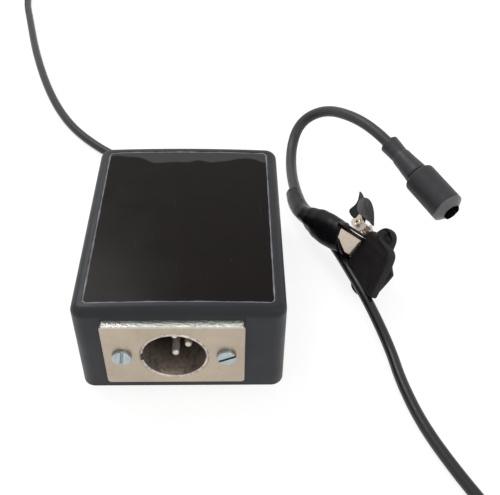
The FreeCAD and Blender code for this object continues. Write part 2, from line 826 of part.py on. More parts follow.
def make_clip_half(side, bend, angle, lever, lever_width, span):
    """A jaw and a lever bent from one sheet, with two lugs that the pivot pin goes through."""
    root = lever_root(side, bend)
    tip = V(sleeve_start + jaw_length, 0, side * jaw_gap_at_tip)
    back = root + lever_direction(side, angle) * ear_back
    end = root + lever_direction(side, angle) * lever
    half = bent_sheet([tip, root, back], jaw_width)
    half = half.fuse(bent_sheet([root + unit(tip - root) * cross_front, root, back], span))
    half = half.fuse(bent_sheet([root, end], lever_width))
    lugs = [lug(side, bend, angle, sign * span / 2, sign * (span / 2 - sheet)) for sign in (-1, 1)]
    half = half.fuse(lugs)
    half = half.cut(cylinder(pin_rod_radius + pin_rod_fit, V(0, -span, 0), V(0, span, 0)))
    half.translate(V(0, metal_shift, 0))
    return largest(half)


def make_pivot_pin():
    reach = free_span / 2 + pin_end_play
    pin = cylinder(pin_rod_radius, V(0, -reach, 0), V(0, reach, 0))
    heads = [cylinder(pin_head_radius, V(0, end * reach, 0), V(0, end * (reach + pin_head_height), 0))
             for end in (-1, 1)]
    pin = pin.fuse(heads)
    pin.translate(V(0, metal_shift, 0))
    return pin


def make_spring():
    """A torsion spring's turns round the pin, as closed rings tied by a bar, without its legs."""
    turns = []
    start = -(spring_turns - 1) * spring_pitch / 2
    for number in range(spring_turns):
        turns.append(Part.makeTorus(spring_coil_radius, spring_wire_radius,
                                    V(0, start + number * spring_pitch, 0), V(0, 1, 0)))
    link = box(V(-spring_wire_radius, start, spring_coil_radius - spring_link_half),
               V(spring_wire_radius, -start, spring_coil_radius + spring_link_half))
    spring = turns[0].fuse(turns[1:] + [link])
    spring.translate(V(0, metal_shift, 0))
    return spring


def make_jaw_sleeve(side, metal):
    outline = fixed_sleeve_outline if side > 0 else free_sleeve_outline
    sleeve = prism([V(x, y, 0) for x, y in outline], V(0, 0, side * sleeve_thickness))
    sleeve.translate(V(0, 0, side * sleeve_gap))
    sleeve = fillet_along(sleeve, UP, sleeve_corner_radius)
    outer = side * (sleeve_gap + sleeve_thickness)
    rim = [edge for edge in sleeve.Edges
           if abs(edge.BoundBox.ZMin - outer) < touch and abs(edge.BoundBox.ZMax - outer) < touch]
    sleeve = sleeve.makeFillet(sleeve_edge_radius, rim)
    return largest(sleeve.cut(metal))


def make_lever_sleeve(metal):
    """A thin rubber leaf over the free lever, with a socket that grips the metal."""
    along = lever_direction(-1, free_lever_angle)
    leaf = prism([V(-x, y, 0) for x, y in leaf_outline], V(0, 0, -leaf_thickness))
    leaf = fillet_along(leaf, UP, leaf_corner_radius)
    leaf.translate(V(0, 0, sheet / 2))
    half = free_lever_width / 2 + leaf_wall
    socket = box(V(-free_lever_length - leaf_wall, metal_shift - half, -leaf_thickness),
                 V(-socket_start, metal_shift + half, sheet / 2 + leaf_wall))
    leaf = leaf.fuse(socket)
    leaf.rotate(V(0, 0, 0), V(0, 1, 0), -math.degrees(math.atan2(-along.z, -along.x)))
    leaf.translate(lever_root(-1, free_bend))
    return largest(leaf.cut(metal))


# ---- neck --------------------------------------------------------------------------------------
head_direction = unit(head_axis)
head_start = neck_route[-1] + head_direction * head_setback
neck_end = head_start + head_direction * neck_in_head
neck_joints = [between(neck_route[run], neck_route[run + 1], share)
               for run, share in zip(neck_joint_runs, neck_joint_shares)]


def neck_span(points, ball_end, cup_start, name):
    """One rigid length of the neck: a ball at its far end fits a cup in the next length."""
    solid, _ = tube(points, neck_radius, name)
    if ball_end:
        solid = solid.fuse(Part.makeSphere(neck_ball_radius, points[-1], points[-1] - points[-2]))
    if cup_start:
        solid = solid.cut(Part.makeSphere(neck_ball_radius + neck_joint_gap, points[0]))
    return largest(solid)


def at_head(distance):
    return head_start + head_direction * distance


def make_neck_sleeve():
    return turned([(neck_radius, 0), (neck_sleeve_radius, 0), (neck_sleeve_end_radius, neck_sleeve_length),
                   (neck_radius, neck_sleeve_length)], head_start, head_direction)


boot_end = neck_sleeve_length + boot_length
housing_start = boot_end + housing_gap
housing_end = housing_start + housing_length
ring_end = housing_end + front_ring_length
housing_bore = housing_radius - housing_wall


def make_boot():
    core = neck_radius
    inside = neck_in_head
    return turned([
        (core, neck_sleeve_length),
        (boot_start_radius - boot_start_chamfer, neck_sleeve_length),
        (boot_start_radius, neck_sleeve_length + boot_chamfer_length),
        (boot_end_radius, boot_end - boot_chamfer_length),
        (boot_end_radius - boot_end_chamfer, boot_end),
        (boot_spigot_radius, boot_end),
        (boot_spigot_radius, boot_end + boot_spigot_length),
        (0, boot_end + boot_spigot_length),
        (0, inside),
        (core, inside),
    ], head_start, head_direction)


def make_housing():
    rear = housing_start + housing_rear_wall
    solid = turned([
        (boot_spigot_radius + small_gap, housing_start),
        (housing_radius, housing_start),
        (housing_radius, housing_end),
        (housing_bore, housing_end),
        (housing_bore, rear),
        (boot_spigot_radius + small_gap, rear),
    ], V(0, 0, 0), UP)
    corner = [edge for edge in solid.Edges
              if edge.BoundBox.ZMax < housing_start + touch and edge.BoundBox.XMax > housing_radius - touch]
    solid = solid.makeFillet(housing_edge_radius, corner)
    return placed(solid, head_start, FreeCAD.Rotation(UP, head_direction))


def make_front_ring():
    spigot = housing_bore - small_gap
    solid = turned([
        (front_ring_opening, housing_end - front_ring_spigot),
        (spigot, housing_end - front_ring_spigot),
        (spigot, housing_end),
        (housing_radius, housing_end),
        (housing_radius, housing_end + front_ring_rim),
        (front_ring_opening + front_ring_lip, ring_end),
        (front_ring_opening, ring_end),
    ], V(0, 0, 0), UP)
    shoulder = [edge for edge in solid.Edges
                if edge.BoundBox.ZMin > housing_end + front_ring_rim - touch
                and edge.BoundBox.XMax > housing_radius - touch]
    solid = solid.makeFillet(front_ring_shoulder, shoulder)
    return placed(solid, head_start, FreeCAD.Rotation(UP, head_direction))


screen_front = housing_end - front_ring_spigot
capsule_front = screen_front - screen_thickness


def make_screen():
    disc = cylinder(housing_bore - small_gap, at_head(capsule_front), at_head(screen_front))
    plug = cylinder(front_ring_opening - small_gap, at_head(screen_front),
                    at_head(ring_end - screen_recess))
    return disc.fuse(plug)


def make_capsule():
    can = cylinder(capsule_radius, at_head(capsule_front - capsule_length), at_head(capsule_front))
    return can.cut(cylinder(capsule_port_radius, at_head(capsule_front - capsule_port_depth),
                            at_head(capsule_front + overcut)))


def make_capsule_holder():
    return turned([
        (capsule_radius, capsule_front - holder_length),
        (housing_bore - small_gap, capsule_front - holder_length),
        (housing_bore - small_gap, capsule_front),
        (capsule_radius, capsule_front),
    ], head_start, head_direction)


# ---- shrink tube over the neck, lever and cable -------------------------------------------------
def make_shrink(inside):
    """A loft of ovals: wide across the clip's lever, round where it grips the neck."""
    across = clip_rotation.multVec(V(0, 1, 0))
    sections = []
    count = len(shrink_stations)
    for number, (centre, half_width, half_thickness) in enumerate(shrink_stations):
        before = shrink_stations[max(number - 1, 0)][0]
        after = shrink_stations[min(number + 1, count - 1)][0]
        along = unit(after - before)
        wide = unit(across - along * across.dot(along))
        thin = along.cross(wide)
        if half_width > half_thickness:
            oval = Part.Ellipse(centre + wide * half_width, centre + thin * half_thickness, centre)
        else:
            oval = Part.Ellipse(centre + wide * (half_width + touch), centre + thin * half_width, centre)
        sections.append(Part.Wire(oval.toShape()))
    solid = Part.makeLoft(sections, True, False)
    return largest(solid.cut(inside))


# ---- build -------------------------------------------------------------------------------------
os.makedirs("parts", exist_ok=True)

save("case_shell", make_case_shell())
save("case_base", make_case_base())
save("case_screws", make_case_screws())
save("label_panel", make_label())
save("faceplate", make_faceplate())
save("faceplate_screws", make_faceplate_screws())
save("socket_shell", make_socket_shell())
save("socket_insulator", make_insulator())
for pin_number, pin_angle in enumerate(pin_angles, start=1):
    save("contact_pin_%d" % pin_number, make_pin(pin_angle))
save("socket_wires", make_socket_wires())
save("circuit_board", make_board())
save("board_screws", make_board_screws())
save("coupling_capacitors", Part.makeCompound([
    electrolytic(small_cap_x, board_front + inset, small_cap_radius, small_cap_height)
    for inset in small_cap_insets]))
save("filter_capacitor", electrolytic(large_cap_x, board_front + large_cap_inset,
                                      large_cap_radius, large_cap_height))
save("transistor", make_transistor())
save("resistors", make_resistors())
save("terminal_block", make_terminal())
save("cable_grommet", make_grommet())
save("cable_tie", make_cable_tie())
save("inner_lead", make_inner_lead())

coil = make_coil()
save("cable_coil", coil)
case_cable, case_cable_length = tube(case_side_route, cable_radius, "case side of the cable")
mic_cable, mic_cable_length = tube(mic_side_route, cable_radius, "mic side of the cable")
save("cable_case_side", largest(case_cable.cut(coil)))
save("cable_mic_side", largest(mic_cable.cut(coil)))

fixed_half = make_clip_half(1, fixed_bend, fixed_lever_angle, fixed_lever_length, fixed_span, fixed_span)
free_half = make_clip_half(-1, free_bend, free_lever_angle, free_lever_length, free_lever_width, free_span)
fixed_half_placed = in_clip(fixed_half)
save("clip_fixed_half", fixed_half_placed)
save("clip_free_half", in_clip(free_half))
save("clip_pivot_pin", in_clip(make_pivot_pin()))
save("clip_spring", in_clip(make_spring()))
save("fixed_jaw_sleeve", in_clip(make_jaw_sleeve(1, fixed_half)))
save("free_jaw_sleeve", in_clip(make_jaw_sleeve(-1, free_half)))
save("lever_sleeve", in_clip(make_lever_sleeve(free_half)))

first, second, third = neck_joints
neck_root = neck_span([neck_route[0], neck_route[1], first], True, False, "neck_root")
save("neck_root", neck_root)
save("neck_bend", neck_span([first] + neck_route[2:5] + [second], True, True, "neck_bend"))
save("neck_span", neck_span([second, neck_route[5], third], True, True, "neck_span"))
save("neck_tip", neck_span([third, neck_route[-1], neck_end], False, True, "neck_tip"))
save("neck_sleeve", make_neck_sleeve())
save("capsule_boot", make_boot())
save("capsule_housing", make_housing())
save("capsule_front_ring", make_front_ring())
save("capsule_screen", make_screen())
save("electret_capsule", make_capsule())
save("capsule_holder", make_capsule_holder())
save("clip_shrink", make_shrink([fixed_half_placed, neck_root, mic_cable]))
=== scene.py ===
"""Clip-on microphone with its powering module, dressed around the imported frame."""
import math

import bmesh
import bpy
from mathutils import Matrix, Vector


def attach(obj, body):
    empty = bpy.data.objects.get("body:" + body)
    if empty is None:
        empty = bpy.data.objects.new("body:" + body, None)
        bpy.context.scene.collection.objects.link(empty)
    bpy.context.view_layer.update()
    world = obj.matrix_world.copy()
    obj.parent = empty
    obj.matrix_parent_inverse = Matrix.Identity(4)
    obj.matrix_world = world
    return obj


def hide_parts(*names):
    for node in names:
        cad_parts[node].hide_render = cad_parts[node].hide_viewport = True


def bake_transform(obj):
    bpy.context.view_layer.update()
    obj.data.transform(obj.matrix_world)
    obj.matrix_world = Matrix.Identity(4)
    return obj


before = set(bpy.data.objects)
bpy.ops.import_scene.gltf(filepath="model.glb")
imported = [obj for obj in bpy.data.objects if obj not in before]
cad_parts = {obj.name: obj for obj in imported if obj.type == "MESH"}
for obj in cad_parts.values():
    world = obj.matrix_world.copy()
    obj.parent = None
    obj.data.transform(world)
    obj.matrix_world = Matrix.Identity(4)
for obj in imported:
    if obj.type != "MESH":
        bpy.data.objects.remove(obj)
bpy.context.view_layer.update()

bl_info = {
    "name": "Clip-on Microphone",
    "version": (1, 0, 0),
    "blender": (4, 5, 0),
    "location": "View3D > Sidebar > Microphone",
    "description": "Dresses the microphone, its clip, cable and powering module",
    "category": "Object",
}

MM = 0.001
UP = Vector((0, 0, 1))
SIDES = 48
SLAB_POINTS = 128


def mm(x, y, z):
    """A point given in millimetres."""
    return Vector((x, y, z)) * MM


# ---- sizes shared with the solids ----
CABLE_RADIUS = 1.9
ON_TABLE = 1.95

CASE_SIDE_ROUTE = [
    (0, 46, 14), (0, 53, 14), (-2.4, 60.5, 11.6), (-8.5, 66.5, 7.6), (-18, 70.8, 3.4),
    (-31, 76, ON_TABLE), (-45.5, 87.5, ON_TABLE), (-59.5, 104, ON_TABLE),
    (-72.5, 129.5, ON_TABLE), (-86, 167, ON_TABLE), (-96, 203, ON_TABLE),
    (-103, 228, ON_TABLE),
]
COIL_CENTRE = (-127, 258)
COIL_INNER = 15.15
COIL_PITCH = 3.85
COIL_LEAD_OUT = (-147.6, 243, 3.4)
COIL_ANGLES = range(-10, 1611, 20)
# Degrees wound so far, column counted outwards, layer counted upwards.
COIL_PLAN = ((0, 2, 0), (285, 2, 0), (325, 1, 0), (590, 1, 0), (630, 0, 0), (880, 0, 0),
             (935, 0, 1), (1180, 0, 1), (1225, 1, 1), (1510, 1, 1), (1555, 2, 1), (1620, 2, 1))
MIC_SIDE_ROUTE = [
    (-136.5, 222, ON_TABLE), (-127.5, 190, ON_TABLE), (-117, 152, ON_TABLE),
    (-106, 108, ON_TABLE), (-99.5, 62, ON_TABLE), (-87, 20, ON_TABLE), (-78.5, -22, ON_TABLE),
    (-68, -60, ON_TABLE), (-52, -88, ON_TABLE), (-28, -103, ON_TABLE), (5, -108.5, ON_TABLE),
    (36, -107, ON_TABLE), (63, -112, ON_TABLE), (81, -109.5, ON_TABLE), (90.4, -99.5, ON_TABLE),
    (88.6, -86, ON_TABLE), (81.2, -72.5, ON_TABLE), (74.2, -56.6, ON_TABLE),
    (70.4, -41, ON_TABLE), (69, -28, ON_TABLE), (65.8, -17, 4.3), (62.5, -8.4, 7.0),
    (59.6, 0.4, 7.3), (56.2, 11.4, 7.1), (53.3, 17.6, 8.3), (50, 22.2, 10.6),
]

CLIP_PIVOT = Vector((63.1, 14.2, 14.2))
CLIP_HEADING = math.radians(-75)
CLIP_ROLL = math.radians(58)
CLIP_TURN = Matrix.Rotation(CLIP_HEADING, 3, "Z") @ Matrix.Rotation(CLIP_ROLL, 3, "X")

NECK_RADIUS = 2.25
NECK_ROUTE = [
    (44.4, 29.5, 10.8), (41.1, 52, 4.8), (41.2, 79, 4.6), (45.6, 90.4, 12.6), (56, 89, 20.4),
    (66.6, 76, 25.4), (75.6, 62.8, 25.8),
]
NECK_BENDS = [(41.142, 63.34, 4.716), (61.3, 82.5, 22.9), (71.1, 69.4, 25.6)]
HEAD_AXIS = Vector((0.49, -0.85, -0.18)).normalized()
HEAD_START = Vector(NECK_ROUTE[-1]) + 6 * HEAD_AXIS
# Each station of the shrink tube: centre, half width across the lever, half thickness.
SHRINK_STATIONS = [
    ((41.2, 49.8, 5.4), 3.3, 3.2), ((41.4, 46.5, 5.9), 3.5, 3.4),
    ((41.9, 41.1, 7.2), 3.5, 3.4), ((43.0, 34.9, 9.1), 3.4, 3.5),
    ((44.5, 30.4, 10.6), 3.4, 3.6), ((46.8, 26.4, 12.2), 4.7, 3.9),
    ((49.5, 21.6, 13.6), 5.7, 4.1), ((52.0, 17.4, 14.6), 6.0, 4.0),
    ((54.2, 14.4, 15.4), 5.9, 3.8), ((55.9, 12.6, 16.0), 5.5, 3.5),
]
# Outlines seen square on: along the jaw from the pivot, then across it.
FIXED_SLEEVE = [(3.3, 4.4), (3.8, 2.4), (4.3, -2.2), (4.8, -6.0), (5.0, -8.2), (6.4, -8.8),
                (22.0, -7.6), (24.0, -7.4), (24.6, -6.9), (24.3, -5.8), (22.5, -0.4), (21.9, 2.0),
                (20.6, 5.0), (19.4, 7.4), (18.2, 8.4), (16.4, 8.9), (13.4, 8.6), (10.6, 8.3),
                (9.2, 9.0), (8.5, 10.6), (7.9, 10.4), (7.5, 8.4), (6.7, 7.2), (5.4, 7.5),
                (4.5, 6.6), (3.8, 5.4)]
FREE_SLEEVE = [(3.1, -6.8), (5.6, -8.4), (7.9, -10.2), (8.2, -12.0), (9.4, -13.6), (12.0, -14.6),
               (15.6, -13.9), (17.9, -12.2), (20.2, -9.4), (21.8, -6.9), (22.0, -5.4), (21.9, 2.3),
               (21.2, 2.9), (16.4, 4.4), (14.2, 5.8), (12.9, 7.4), (12.2, 9.0), (10.8, 10.8),
               (8.6, 11.4), (6.8, 11.0), (5.4, 10.4), (4.2, 9.0), (3.1, 5.8)]
# The two blades of the free lever's cover: along the lever from its bend, then across it.
REAR_BLADE = [(11.0, -3.8), (17.6, -3.6), (20.9, -4.6), (24.0, -5.3), (27.0, -5.5), (28.1, -4.6),
              (28.4, -2.7), (29.0, -1.1), (30.8, 0.3), (32.6, 1.4), (32.7, 2.0), (29.7, 2.8),
              (25.6, 3.7), (22.0, 3.4), (16.0, 2.4), (11.0, 0.6)]
FRONT_BLADE = [(23.6, 3.2), (21.8, 5.1), (18.6, 6.6), (14.6, 7.5), (10.4, 7.7), (6.6, 7.4),
               (2.8, 6.6), (0.7, 5.9), (0.0, 5.4), (2.7, 4.7), (4.6, 4.3), (7.1, 3.2), (11.8, 1.7),
               (16.1, 0.1), (19.7, -0.4), (22.6, 0.4), (24.0, 1.8)]
# Nickel plate on the free lever, and the middle of the rivet through it.
BRACKET = [(1.6, 3.2), (0.9, 2.6), (3.4, 0.2), (8.6, -2.8), (13.6, -4.7), (16.8, -5.0), (17.8, -4.6),
           (17.6, -3.6), (16.0, -1.9), (10.8, 0.6), (4.0, 3.2)]
RIVET = (11.0, -1.3)
# Wires that lie on the fixed lever: radius, then the route in that lever's frame.
SLEEVED_WIRES = (
    (1.25, [(9.6, 1.2, -1.6), (7.8, 2.2, 0.4), (4.0, 2.6, 1.3), (0.5, 2.7, 1.4), (-1.6, 2.8, 0.6)]),
    (0.9, [(9.4, -2.0, -1.6), (7.4, -3.6, 0.0), (5.8, -5.0, 0.5), (3.6, -6.4, 0.2),
           (0.8, -7.9, -0.6), (-2.4, -8.6, -1.4)]),
)
SPRING_LEG_RADIUS = 0.14
SPRING_LEG = [(9.0, 2.4, 0.2), (7.2, 2.9, 1.5), (4.0, 3.2, 2.4), (0.5, 3.3, 2.5), (-1.6, 3.2, 1.6)]
# Where each lever bends away from its jaw, how far from the pivot, and how steeply.
FIXED_BEND = 3.2
FIXED_LEVER_ANGLE = math.radians(62)
FREE_BEND = -1.0
FREE_LEVER_ANGLE = math.radians(20)
JAW_GAP = 2.6
# Boot behind the capsule and foam in its mouth: radius, distance past the neck.
BOOT = ((2.30, -0.02), (3.74, 0.00), (3.92, 0.16), (3.90, 0.60), (3.76, 2.5), (3.63, 4.5),
        (3.53, 6.2), (3.50, 6.9), (3.54, 7.3), (3.74, 7.7), (3.82, 8.3), (3.90, 9.5), (4.05, 11.5),
        (4.24, 13.5), (4.42, 15.5), (4.58, 17.2), (4.63, 17.8), (4.55, 18.1), (4.10, 18.3),
        (3.00, 18.32), (3.00, 21.00))
FOAM = ((3.00, 36.2), (3.05, 38.2), (3.22, 38.9), (3.20, 39.3), (2.90, 39.6), (2.20, 39.7),
        (1.20, 39.5), (0.40, 39.6), (0.05, 39.6))
# The label: half its width and length, corner, height, the lid's crown, and the bead round it.
LABEL_HALF = (28.25, 36.32)
LABEL_CORNER = 1.6
LABEL_TOP = 36.12
CROWN_RADIUS = 637.0
# Where the painted reflection along the label's rear edge begins.
LABEL_PAINTED_REFLECTION_FROM = 37.4
BEAD_RADIUS, BEAD_FLATNESS, BEAD_SPACING, BEAD_SIDES = 0.24, 1.3, 0.9, 10
# Along the socket, from its mouth inwards.
BARREL_DARKENS = (-38, -27)
PINS_DARKEN = (-34, -28)


def in_clip(x, y, z):
    """A point of the clip's own frame: X along the jaws, Y along the pin, Z to the fixed jaw."""
    return (CLIP_PIVOT + CLIP_TURN @ Vector((x, y, z))) * MM


def on_lever(x, y, z):
    """A point of the free lever's frame: X out along it from its bend, Z towards the jaws."""
    c, t = math.cos(FREE_LEVER_ANGLE), math.sin(FREE_LEVER_ANGLE)
    return in_clip(FREE_BEND - x * c - z * t, y, -JAW_GAP - x * t + z * c)


def on_fixed_lever(x, y, z):
    """A point of the fixed lever's frame: X out along it from its bend, Z off its bright face."""
    c, t = math.cos(FIXED_LEVER_ANGLE), math.sin(FIXED_LEVER_ANGLE)
    return in_clip(FIXED_BEND - x * c + z * t, y, JAW_GAP + x * t + z * c)


def at_head(distance):
    """A point on the capsule's axis, that many millimetres past the neck."""
    return (HEAD_START + distance * HEAD_AXIS) * MM


# ---- what a user may change ----
def colour(title, about, value):
    return bpy.props.FloatVectorProperty(name=title, description=about, subtype="COLOR",
                                         size=3, min=0, max=1, default=value)


def share(title, about, value):
    return bpy.props.FloatProperty(name=title, description=about, subtype="FACTOR",
                                   min=0, max=1, default=value)


def length(title, about, value):
    return bpy.props.FloatProperty(name=title, description=about, unit="LENGTH",
                                   min=0, default=value, precision=5)


class ModuleLook(bpy.types.PropertyGroup):
    """Colours and finish of the powering module."""
    plastic: colour("Case", "Moulded plastic of the case", (0.0115, 0.0130, 0.0170))
    plastic_roughness: share("Case roughness", "How matt the moulded plastic is", 0.42)
    grain: length("Grain size", "Spacing of the moulded grain", 0.0004)
    label: colour("Label", "Face of the bare label", (0.0105, 0.0078, 0.0068))
    # The label edge's pale colour is a painted highlight along the label's rim.
    label_edge_highlight: colour("Label edge", "Clear film that stands round the label", (0.20, 0.20, 0.22))
    plate: colour("Faceplate", "Nickel on the socket's faceplate", (0.46, 0.385, 0.30))


class CableLook(bpy.types.PropertyGroup):
    """Colour and size of the cable."""
    jacket: colour("Jacket", "Cable jacket", (0.0065, 0.0065, 0.0072))
    radius: length("Radius", "Half the cable's thickness", CABLE_RADIUS * MM)
    roughness: share("Roughness", "How matt the jacket is", 0.36)


class MicrophoneLook(bpy.types.PropertyGroup):
    """Colours of the neck, the capsule and the clip."""
    neck: colour("Neck", "Rubber over the bendable neck", (0.033, 0.033, 0.037))
    housing: colour("Housing", "Painted capsule housing", (0.027, 0.0265, 0.030))
    ring: colour("Front ring", "Ring round the opening", (0.125, 0.120, 0.125))
    rubber: colour("Sleeves", "Rubber on the jaws", (0.0105, 0.0085, 0.0090))
    lever: colour("Lever cover", "Rubber on the free lever", (0.022, 0.0185, 0.0175))
    shrink: colour("Shrink tube", "Tube shrunk over the clip's lever", (0.0070, 0.0070, 0.0085))
    clip: colour("Clip metal", "Nickel on the clip", (0.62, 0.53, 0.43))


class StudioLook(bpy.types.PropertyGroup):
    """Light and floor."""
    floor: colour("Floor", "Pale floor", (0.80, 0.80, 0.80))
    key_power: bpy.props.FloatProperty(name="Key lamp", description="Power of the key lamp",
                                       unit="POWER", min=0, default=2.0)
    fill_power: bpy.props.FloatProperty(name="Fill lamp", description="Power of the fill lamp",
                                        unit="POWER", min=0, default=0.7)
    sky: share("Sky", "Strength of the even light from all round", 0.55)


# ---- materials ----
class Finish:
    """A procedural material: one Principled shader and the textures that feed it."""

    def __init__(self, name, base, roughness, metallic=0.0, specular=0.5):
        self.base = Vector(base)
        self.material = bpy.data.materials.new(name)
        self.material.use_nodes = True
        self.tree = self.material.node_tree
        self.shader = self.tree.nodes["Principled BSDF"]
        self.shader.inputs["Base Color"].default_value = (*base, 1)
        self.shader.inputs["Roughness"].default_value = roughness
        self.shader.inputs["Metallic"].default_value = metallic
        self.shader.inputs["Specular IOR Level"].default_value = specular
        self.place = self.node("ShaderNodeTexCoord").outputs["Object"]
        self.normal = None
        self.roughness = roughness
        self.tint = None

    def node(self, kind, **settings):
        made = self.tree.nodes.new(kind)
        for key, value in settings.items():
            setattr(made, key, value)
        return made

    def link(self, source, target):
        self.tree.links.new(source, target)

    def feed(self, socket, value):
        """Links a socket or sets a plain value."""
        if isinstance(value, bpy.types.NodeSocket):
            self.link(value, socket)
        else:
            socket.default_value = value

    def stretched(self, x, y, z):
        """Coordinates scaled along each axis."""
        mapping = self.node("ShaderNodeMapping")
        self.link(self.place, mapping.inputs["Vector"])
        mapping.inputs["Scale"].default_value = (x, y, z)
        return mapping.outputs["Vector"]

    def axis(self, name, place=None):
        """One coordinate, in metres, of each point."""
        split = self.node("ShaderNodeSeparateXYZ")
        self.link(place or self.place, split.inputs[0])
        return split.outputs[name]

    def texture(self, kind, scale, place=None, **settings):
        """A pattern laid over the points, repeated scale times a metre."""
        made = self.node("ShaderNodeTex" + kind, **settings)
        self.link(place or self.place, made.inputs["Vector"])
        made.inputs["Scale"].default_value = scale
        return made

    def noise(self, size, detail=3.0, place=None):
        """Soft noise whose lumps are about that many metres across."""
        made = self.texture("Noise", 1 / size, place)
        made.inputs["Detail"].default_value = detail
        return made.outputs["Fac"]

    def between(self, value, low, high, new_low=0.0, new_high=1.0):
        made = self.node("ShaderNodeMapRange")
        self.feed(made.inputs["Value"], value)
        for socket, number in zip(("From Min", "From Max", "To Min", "To Max"),
                                  (low, high, new_low, new_high)):
            made.inputs[socket].default_value = number
        return made.outputs["Result"]

    def math(self, operation, *values):
        made = self.node("ShaderNodeMath", operation=operation)
        for socket, value in zip(made.inputs, values):
            self.feed(socket, value)
        return made.outputs[0]

    def mixed(self, amount, first, second):
        """A colour between two."""
        made = self.node("ShaderNodeMix", data_type="RGBA")
        self.feed(made.inputs["Factor"], amount)
        for socket, value in ((made.inputs[6], first), (made.inputs[7], second)):
            self.feed(socket, (*value, 1) if isinstance(value, tuple) else value)
        return made.outputs[2]

    def paint(self, amount, second):
        """Mixes another colour over the base by amount."""
        first = self.tint or tuple(self.base)
        self.tint = self.mixed(amount, first, second)
        self.link(self.tint, self.shader.inputs["Base Color"])
        return self

    def wash(self, where, amount, tone):
        """Mixes a colour over the base by amount, only where it should be."""
        return self.paint(self.math("MULTIPLY", where, amount), tone)

    def mottle(self, size, spread):
        """Slow light and dark patches."""
        amount = self.between(self.noise(size), 0.3, 0.7)
        light = tuple(min(1.0, c * (1 + spread)) for c in self.base)
        dark = tuple(c * (1 - spread) for c in self.base)
        self.tint = self.mixed(amount, dark, light)
        self.link(self.tint, self.shader.inputs["Base Color"])
        return self

    def smudge(self, size, spread):
        """Patches that are glossier and duller."""
        value = self.between(self.noise(size, 4.0), 0.3, 0.7,
                             max(0.02, self.roughness - spread), self.roughness + spread)
        self.link(value, self.shader.inputs["Roughness"])
        return self

    def bump(self, height, depth, strength=1.0):
        """Relief that many metres deep, laid over the relief so far."""
        made = self.node("ShaderNodeBump")
        self.link(height, made.inputs["Height"])
        made.inputs["Distance"].default_value = depth
        made.inputs["Strength"].default_value = strength
        if self.normal:
            self.link(self.normal, made.inputs["Normal"])
        self.normal = made.outputs["Normal"]
        self.link(self.normal, self.shader.inputs["Normal"])
        return self

    def grain(self, size, detail, depth, strength):
        """Noisy relief."""
        return self.bump(self.noise(size, detail), depth, strength)

    def worn_edges(self, radius, tone, amount=0.6):
        """Paler where an edge has been rubbed."""
        rounded = self.node("ShaderNodeBevel", samples=4)
        rounded.inputs["Radius"].default_value = radius
        flat = self.node("ShaderNodeNewGeometry").outputs["Normal"]
        dot = self.node("ShaderNodeVectorMath", operation="DOT_PRODUCT")
        self.link(rounded.outputs["Normal"], dot.inputs[0])
        self.link(flat, dot.inputs[1])
        edge = self.between(dot.outputs["Value"], 0.97, 0.80)
        broken = self.between(self.noise(radius * 5, 4.0), 0.42, 0.60)
        return self.wash(self.math("MULTIPLY", edge, broken), amount, tone)

    def crevice_shade(self, reach, amount):
        """Painted shade: darker deep inside slots and corners, where little light reaches."""
        open_sky = self.node("ShaderNodeAmbientOcclusion", samples=8)
        open_sky.inputs["Distance"].default_value = reach
        shade_mask = self.between(open_sky.outputs["AO"], 0.75, 0.35)
        return self.wash(shade_mask, amount, tuple(c * 0.04 for c in self.base))

    def specks(self, size, share_of, tone):
        """Scattered dust specks."""
        apart = self.texture("Voronoi", 1 / size).outputs["Distance"]
        near = self.between(apart, share_of, share_of * 0.6)
        kept = self.between(self.noise(size * 1.7), 0.56, 0.62)
        return self.wash(near, kept, tone)


def moulded_plastic(look):
    """Matt charcoal plastic, rubbed paler on its edges."""
    f = Finish("moulded_plastic", look.plastic, look.plastic_roughness, specular=0.34)
    f.mottle(0.011, 0.10).smudge(0.006, 0.06)
    f.grain(look.grain, 2.0, 0.00003, 0.55)
    f.grain(0.018, 1.0, 0.00012, 0.5)
    f.specks(0.0022, 0.05, (0.22, 0.22, 0.23))
    f.worn_edges(0.0005, (0.085, 0.090, 0.105), 0.55)
    return f.material


def label_film(look):
    """Glossy film, with a painted reflection: a paler scalloped band along the rear edge."""
    f = Finish("label_film", look.label, 0.22, specular=0.08)
    f.mottle(0.02, 0.08).smudge(0.009, 0.05)
    # Painted reflection: a paler band with a scalloped edge along the label's rear edge.
    scallop = f.math("MULTIPLY", f.noise(0.011, 1.0, f.stretched(1, 0.2, 1)), 0.012)
    edge = LABEL_PAINTED_REFLECTION_FROM * MM
    lightened = f.between(f.math("ADD", f.axis("Y"), scallop), edge, edge + 0.0008)
    f.wash(lightened, 0.75, (0.085, 0.080, 0.080))
    f.specks(0.0030, 0.045, (0.16, 0.15, 0.14))
    rubbed = f.between(f.noise(0.0012, 5.0, f.stretched(1, 0.08, 1)), 0.66, 0.74)
    f.wash(rubbed, 0.25, (0.05, 0.045, 0.042))
    f.grain(0.009, 2.0, 0.00004, 0.4)
    f.grain(0.0004, 2.0, 0.000004, 0.5)
    return f.material


def label_bead_highlight(look):
    """Clear film along the label's rim, coloured pale: a painted highlight."""
    f = Finish("label_bead_highlight", look.label_edge_highlight, 0.30)
    f.mottle(0.003, 0.35).grain(0.0009, 3.0, 0.00006, 0.7)
    return f.material


